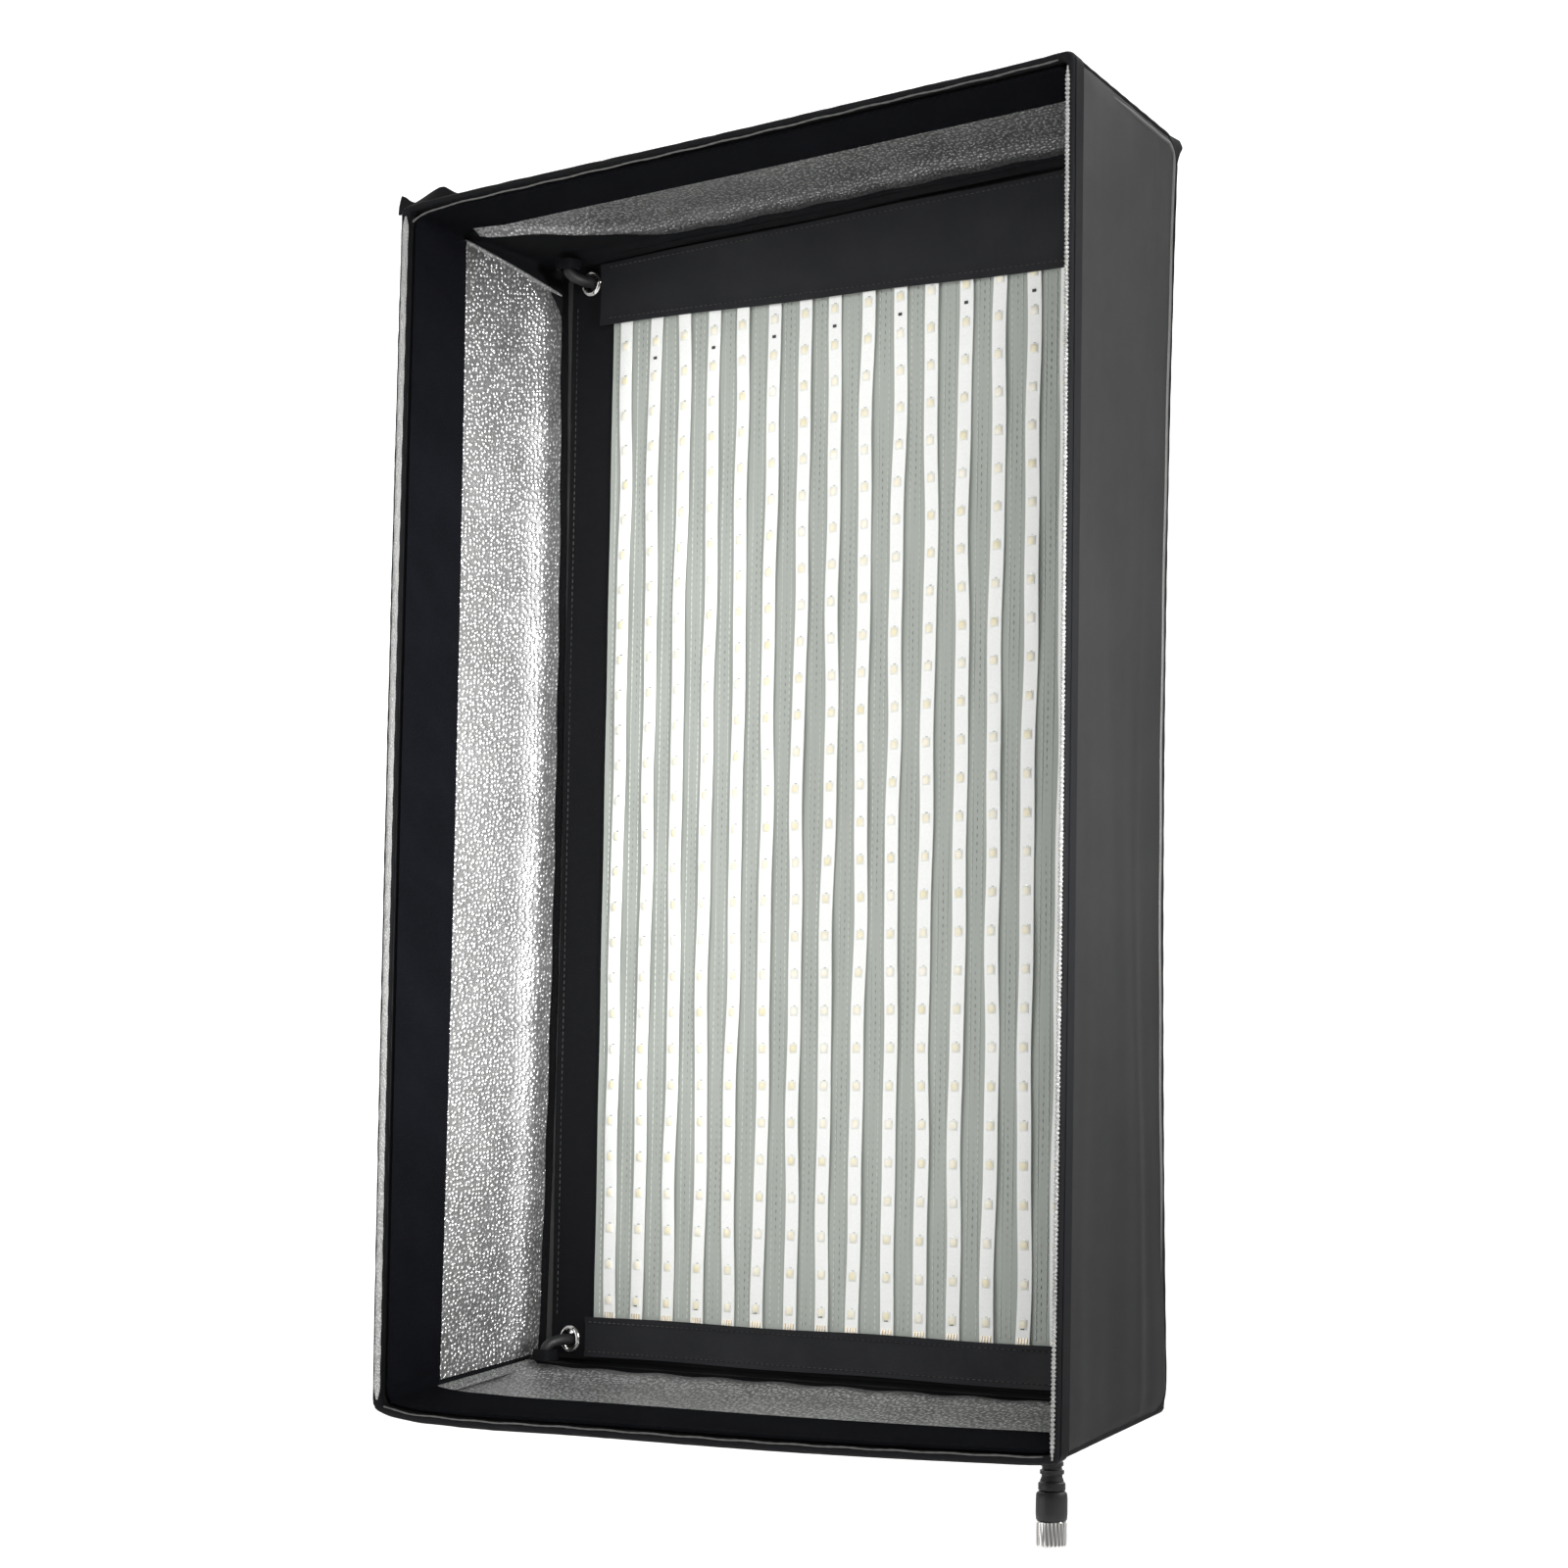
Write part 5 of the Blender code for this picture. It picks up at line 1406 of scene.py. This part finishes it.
class SOFTBOX_OT_stitching(bpy.types.Operator):
    """Sewing: rows between the strips, round the mat and its bands, and along the seams"""

    bl_idname = "softbox.stitching"
    bl_label = "Stitching"

    def execute(self, context):
        s = context.scene.softbox_sizes
        middle = (s.strip_count - 1) / 2
        z = np.linspace(-0.268, 0.2560, 60)
        rows = []
        for gap in range(-1, s.strip_count):
            x = (gap - middle + 0.5) * s.strip_pitch
            for shift in (-0.0030, 0.0030):
                wander = 0.00025 * np.sin(z * 23 + gap * 1.7 + shift * 900)
                if abs(x + shift) > 0.1545:
                    continue
                path = points_at(x + shift + wander, FIELD_Y - 0.00055, s.centre_z + z)
                rows.append(stitches(path, (0, -1, 0), s.stitch_pitch, 0.72, 0.00055))
        field = build("field_stitching", rows, 80)
        finish_piece(field, "head", "field_cloth", finish("field thread"))

        rows = []
        for gap in range(-1, s.strip_count):
            x = (gap - middle + 0.5) * s.strip_pitch
            if abs(x) < 0.1545:
                path = points_at(x + 0.0003 * np.sin(z * 31 + gap * 2.3),
                                 FIELD_Y - 0.0004, s.centre_z + z)
                rows.append(stitches(path, (0, -1, 0), s.stitch_pitch * 1.15, 0.45, 0.00045))
        holes = build("field_seam_dashes", rows, 80)
        finish_piece(holes, "head", "field_cloth", finish("shadow thread"))

        runs = []
        for x in (-0.184, 0.184):
            path = [(x, -0.14665, s.centre_z - 0.270), (x, -0.14665, s.centre_z + 0.270)]
            runs.append(stitches(path, (0, -1, 0), s.stitch_pitch, 0.65, 0.0005))
        for left, right in ((0.2600, 0.2452), (0.2875, 0.2875), (-0.2875, -0.2875),
                            (-0.2722, -0.2722)):
            path = [(-0.1575, -0.1506, s.centre_z + left),
                    (0.1575, -0.1506, s.centre_z + right)]
            runs.append(stitches(path, (0, -1, 0), s.stitch_pitch, 0.65, 0.0005))
        hems = build("mat_stitching", runs, 80)
        finish_piece(hems, "head", "mat_cloth", finish("sewing thread"))

        runs = []
        back = s.front_y + s.depth + 0.0004
        z = np.linspace(-0.262, 0.262, 80)
        for sx in (-1, 1):
            path = drape(s, points_at(sx * 0.1975, back, s.centre_z + z))
            runs.append(stitches(path, (0, -1, 0), s.stitch_pitch, 0.62, 0.0009))
        seams = []
        y = np.linspace(s.front_y + s.loop_end - 0.001, s.front_y + s.depth - 0.011, 40)
        for sx in (-1, 1):
            across = np.linspace(0, 1, 10)[None]
            hx, hz = half_sides(s, y)
            x = sx * (hx[:, None] - 0.0042 - 0.0108 * across)
            z = s.centre_z - hz[:, None] + 0.0034 + 0.0016 * np.sin(math.pi * across) ** 0.5
            grid = drape(s, points_at(x, y[:, None], z))
            side = "left" if sx < 0 else "right"
            fold = build(f"seam_fold_{side}", cloth(grid, 0.0008), 50)
            finish_piece(fold, "head", "lining", finish("seam film"))
            for step in (0.0104, 0.0136):
                path = points_at(sx * (hx - step), y, s.centre_z - hz + 0.0056)
                seams.append(stitches(drape(s, path), (0, 0, 1), s.stitch_pitch, 0.6, 0.0010))
        folds = build("fold_stitching", seams, 80)
        finish_piece(folds, "head", "lining", finish("shadow thread"))
        seam = build("back_seam_stitching", runs, 80)
        finish_piece(seam, "head", "webbing", finish("white thread"))
        return {"FINISHED"}


class SOFTBOX_OT_eyelets(bpy.types.Operator):
    """Rolled nickel eyelets in the mat's corners"""

    bl_idname = "softbox.eyelets"
    bl_label = "Eyelets"

    def execute(self, context):
        s = context.scene.softbox_sizes
        for tag, sx, sz in CORNERS:
            low, high = (Vector(c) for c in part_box(f"eyelet_{tag}"))
            front, back = low.y, high.y
            profile = [(0.0049, back), (0.0049, front + 0.0012), (0.0051, front + 0.0004),
                       (0.0056, front), (0.0063, front + 0.0001), (0.0070, front + 0.0006),
                       (0.0074, front + 0.0012), (0.0074, front + 0.0015),
                       (0.0064, front + 0.0015), (0.0057, front + 0.0015),
                       (0.0055, front + 0.0022), (0.0055, back - 0.0014),
                       (0.0058, back - 0.0010), (0.0072, back - 0.0010),
                       (0.0074, back - 0.0006), (0.0068, back), (0.0058, back + 0.0001)]
            ring = turned(profile, (sx * EYELET_X, 0, s.centre_z + sz * EYELET_Z),
                          (0, 1, 0), 56, closed=True)
            item = build(f"eyelet_ring_{tag}", ring, 40)
            finish_piece(item, "head", "nickel", finish("nickel"), f"eyelet_{tag}")
        return {"FINISHED"}


def diagonal(rho, y, sx, sz, s):
    """A point on the line from the hub to a corner eyelet, rho out from the hub."""
    return (sx * EYELET_X / EYELET_REACH * rho, y,
            s.centre_z + sz * EYELET_Z / EYELET_REACH * rho)


class SOFTBOX_OT_rods(bpy.types.Operator):
    """Bowed rods of the X-bracket and their bent tips through the eyelets"""

    bl_idname = "softbox.rods"
    bl_label = "Rods and tips"

    def execute(self, context):
        s = context.scene.softbox_sizes
        hub_y, sag = -0.085, 0.0465
        for tag, sx, sz in CORNERS:
            share = np.arange(19) / 18
            bowed = [diagonal(0.0362, hub_y, sx, sz, s)]
            bowed += [diagonal(0.076 + 0.2405 * k, hub_y - sag * k * k, sx, sz, s)
                      for k in share]
            rod = build(f"bow_rod_{tag}", [tube(bowed, 0.0030, 24)], 40)
            finish_piece(rod, "head", "rod", finish("rod finish"), f"rod_{tag}")
            end_y = hub_y - sag
            route = [diagonal(0.3170, end_y - 0.0002, sx, sz, s),
                     diagonal(0.3235, end_y - 0.0030, sx, sz, s),
                     diagonal(0.3290, end_y - 0.0080, sx, sz, s),
                     diagonal(EYELET_REACH, s.front_y + 0.0995, sx, sz, s),
                     (sx * 0.1750, s.front_y + 0.0940, s.centre_z + sz * 0.2822),
                     (sx * 0.1770, s.front_y + 0.0892, s.centre_z + sz * 0.2834),
                     (sx * 0.1789, s.front_y + 0.0866, s.centre_z + sz * 0.2856),
                     (sx * 0.1798, s.front_y + 0.0860, s.centre_z + sz * 0.2880),
                     (sx * 0.1800, s.front_y + 0.0860, s.centre_z + sz * 0.2912)]
            path = through(route, 5)
            radius = np.full(len(path), 0.0029)
            radius[:3] = (0.0031, 0.0032, 0.0031)
            radius[-3:] = (0.0028, 0.0025, 0.0018)
            tip = build(f"bent_tip_{tag}", [tube(path, radius, 24)], 40)
            finish_piece(tip, "head", "plastic", finish("black plastic"), f"rod_tip_{tag}")
        return {"FINISHED"}


class SOFTBOX_OT_bracket(bpy.types.Operator):
    """Finishes of the hub, rod sockets, tilt head, receiver, lever and knob"""

    bl_idname = "softbox.bracket"
    bl_label = "Bracket hardware"

    def execute(self, context):
        looks = {"hub_front_plate": "bracket coat", "hub_back_plate": "bracket coat",
                 "tilt_head": "bracket coat", "stand_receiver": "bracket coat",
                 "hub_bolt": "bright steel", "pivot_bolt": "bright steel",
                 "knob_stud": "bright steel", "friction_washer_left": "fibre washer",
                 "friction_washer_right": "fibre washer", "tilt_lever": "black plastic",
                 "socket_knob": "black plastic"}
        for tag, _, _ in CORNERS:
            looks[f"rod_socket_{tag}"] = "black plastic"
            looks[f"hub_pin_{tag}"] = "bright steel"
        for node, look in looks.items():
            dress(node, finish(look))
        return {"FINISHED"}


class SOFTBOX_OT_stage(bpy.types.Operator):
    """Pale floor that curves up behind, and soft studio light"""

    bl_idname = "softbox.stage"
    bl_label = "Floor and light"

    def execute(self, context):
        g = context.scene.softbox_stage
        floor_z = CAD_BOX[0][2] - g.stand_height
        turn = np.linspace(0, math.pi / 2, 14)
        back = np.concatenate([[(-4.0, 0.0), (1.6, 0.0)],
                               np.stack([2.2 + 1.2 * np.sin(turn), 1.2 - 1.2 * np.cos(turn)],
                                        axis=1), [(3.4, 5.0)]])
        across = np.linspace(-6, 6, 7)
        away = np.array([-math.sin(g.azimuth), math.cos(g.azimuth), 0.0])
        side = np.array([math.cos(g.azimuth), math.sin(g.azimuth), 0.0])
        grid = (back[:, None, :1] * away + across[None, :, None] * side
                + np.array([0, 0, 1.0]) * (floor_z + back[:, None, 1:]))
        shape = skin(grid)
        mesh = bpy.data.meshes.new("studio_floor")
        mesh.from_pydata(shape[0].tolist(), [], shape[1][:, ::-1].tolist())
        mesh.shade_smooth()
        floor = bpy.data.objects.new("studio_floor", mesh)
        context.collection.objects.link(floor)
        floor.data.materials.append(finish("studio paper"))

        for name, place, aim, size, power in (
                ("key light", (1.65, -1.45, 0.95), (0, -0.2, 0.08), 0.9, g.key_power),
                ("side light", (1.35, -0.62, 0.11), (-0.2, -0.185, 0.105), 0.12, g.side_power),
                ("rim light", (1.6, 1.15, 1.3), (0.2, -0.2, 0.3), 0.9, g.rim_power),
                ("fill light", (-1.4, -1.9, 0.3), (0, -0.2, 0.05), 1.5, g.fill_power),
                ("rear light", (0.2, 1.5, 1.9), (0, 0.2, 0.1), 1.0, g.rim_power * 0.3),
                ("backdrop light left", (-2.6, 0.6, 2.6), (-1.9, 2.3, 0.0), 1.6,
                 g.backdrop_power),
                ("backdrop light right", (-0.2, 2.2, 2.6), (-1.6, 2.6, 0.0), 1.6,
                 g.backdrop_power),
                ("floor light", (-0.5, 0.9, 2.4), (-0.6, 0.6, -0.3), 1.2,
                 g.backdrop_power * 0.4)):
            if name == "side light":
                data = bpy.data.lights.new(name, "SPOT")
                data.spot_size, data.spot_blend = math.radians(20), 0.35
                data.shadow_soft_size = size
            else:
                data = bpy.data.lights.new(name, "AREA")
                data.shape, data.size = "SQUARE", size
            data.energy = power
            lamp = bpy.data.objects.new(name, data)
            lamp.location = place
            lamp.rotation_euler = (Vector(aim) - Vector(place)).to_track_quat(
                "-Z", "Y").to_euler()
            context.collection.objects.link(lamp)
        world = bpy.data.worlds.new("studio light")
        world.use_nodes = True
        shade = world.node_tree.nodes["Background"]
        shade.inputs[0].default_value = (1.0, 1.0, 1.0, 1.0)
        shade.inputs[1].default_value = g.sky
        context.scene.world = world
        context.scene.view_settings.view_transform = "Standard"
        return {"FINISHED"}


OPERATORS = (SOFTBOX_OT_camera, SOFTBOX_OT_lead, SOFTBOX_OT_outer_walls, SOFTBOX_OT_linings,
             SOFTBOX_OT_front_edge, SOFTBOX_OT_rear_edge, SOFTBOX_OT_corner_folds, SOFTBOX_OT_mat,
             SOFTBOX_OT_light_strips, SOFTBOX_OT_mat_bands, SOFTBOX_OT_stitching,
             SOFTBOX_OT_eyelets, SOFTBOX_OT_rods, SOFTBOX_OT_bracket, SOFTBOX_OT_stage)


class SOFTBOX_PT_panel(bpy.types.Panel):
    """Lists the softbox's sizes, colours and steps"""

    bl_idname = "SOFTBOX_PT_panel"
    bl_label = "Strip Softbox"
    bl_space_type = "VIEW_3D"
    bl_region_type = "UI"
    bl_category = "Softbox"

    def draw(self, context):
        for group in (context.scene.softbox_sizes, context.scene.softbox_colours,
                      context.scene.softbox_stage):
            column = self.layout.column(align=True)
            for key in group.__annotations__:
                column.prop(group, key)
        for step in OPERATORS:
            self.layout.operator(step.bl_idname)


CLASSES = (SoftboxSizes, SoftboxColours, SoftboxStage, *OPERATORS, SOFTBOX_PT_panel)


def register():
    """Adds the classes and the scene's settings."""
    for item in CLASSES:
        bpy.utils.register_class(item)
    bpy.types.Scene.softbox_sizes = PointerProperty(type=SoftboxSizes)
    bpy.types.Scene.softbox_colours = PointerProperty(type=SoftboxColours)
    bpy.types.Scene.softbox_stage = PointerProperty(type=SoftboxStage)


def unregister():
    """Takes them away again."""
    for key in ("softbox_sizes", "softbox_colours", "softbox_stage"):
        delattr(bpy.types.Scene, key)
    for item in reversed(CLASSES):
        bpy.utils.unregister_class(item)


def main():
    """Makes every piece in order."""
    register()
    for step in OPERATORS:
        group, name = step.bl_idname.split(".")
        getattr(getattr(bpy.ops, group), name)()


if __name__ == "__main__":
    main()
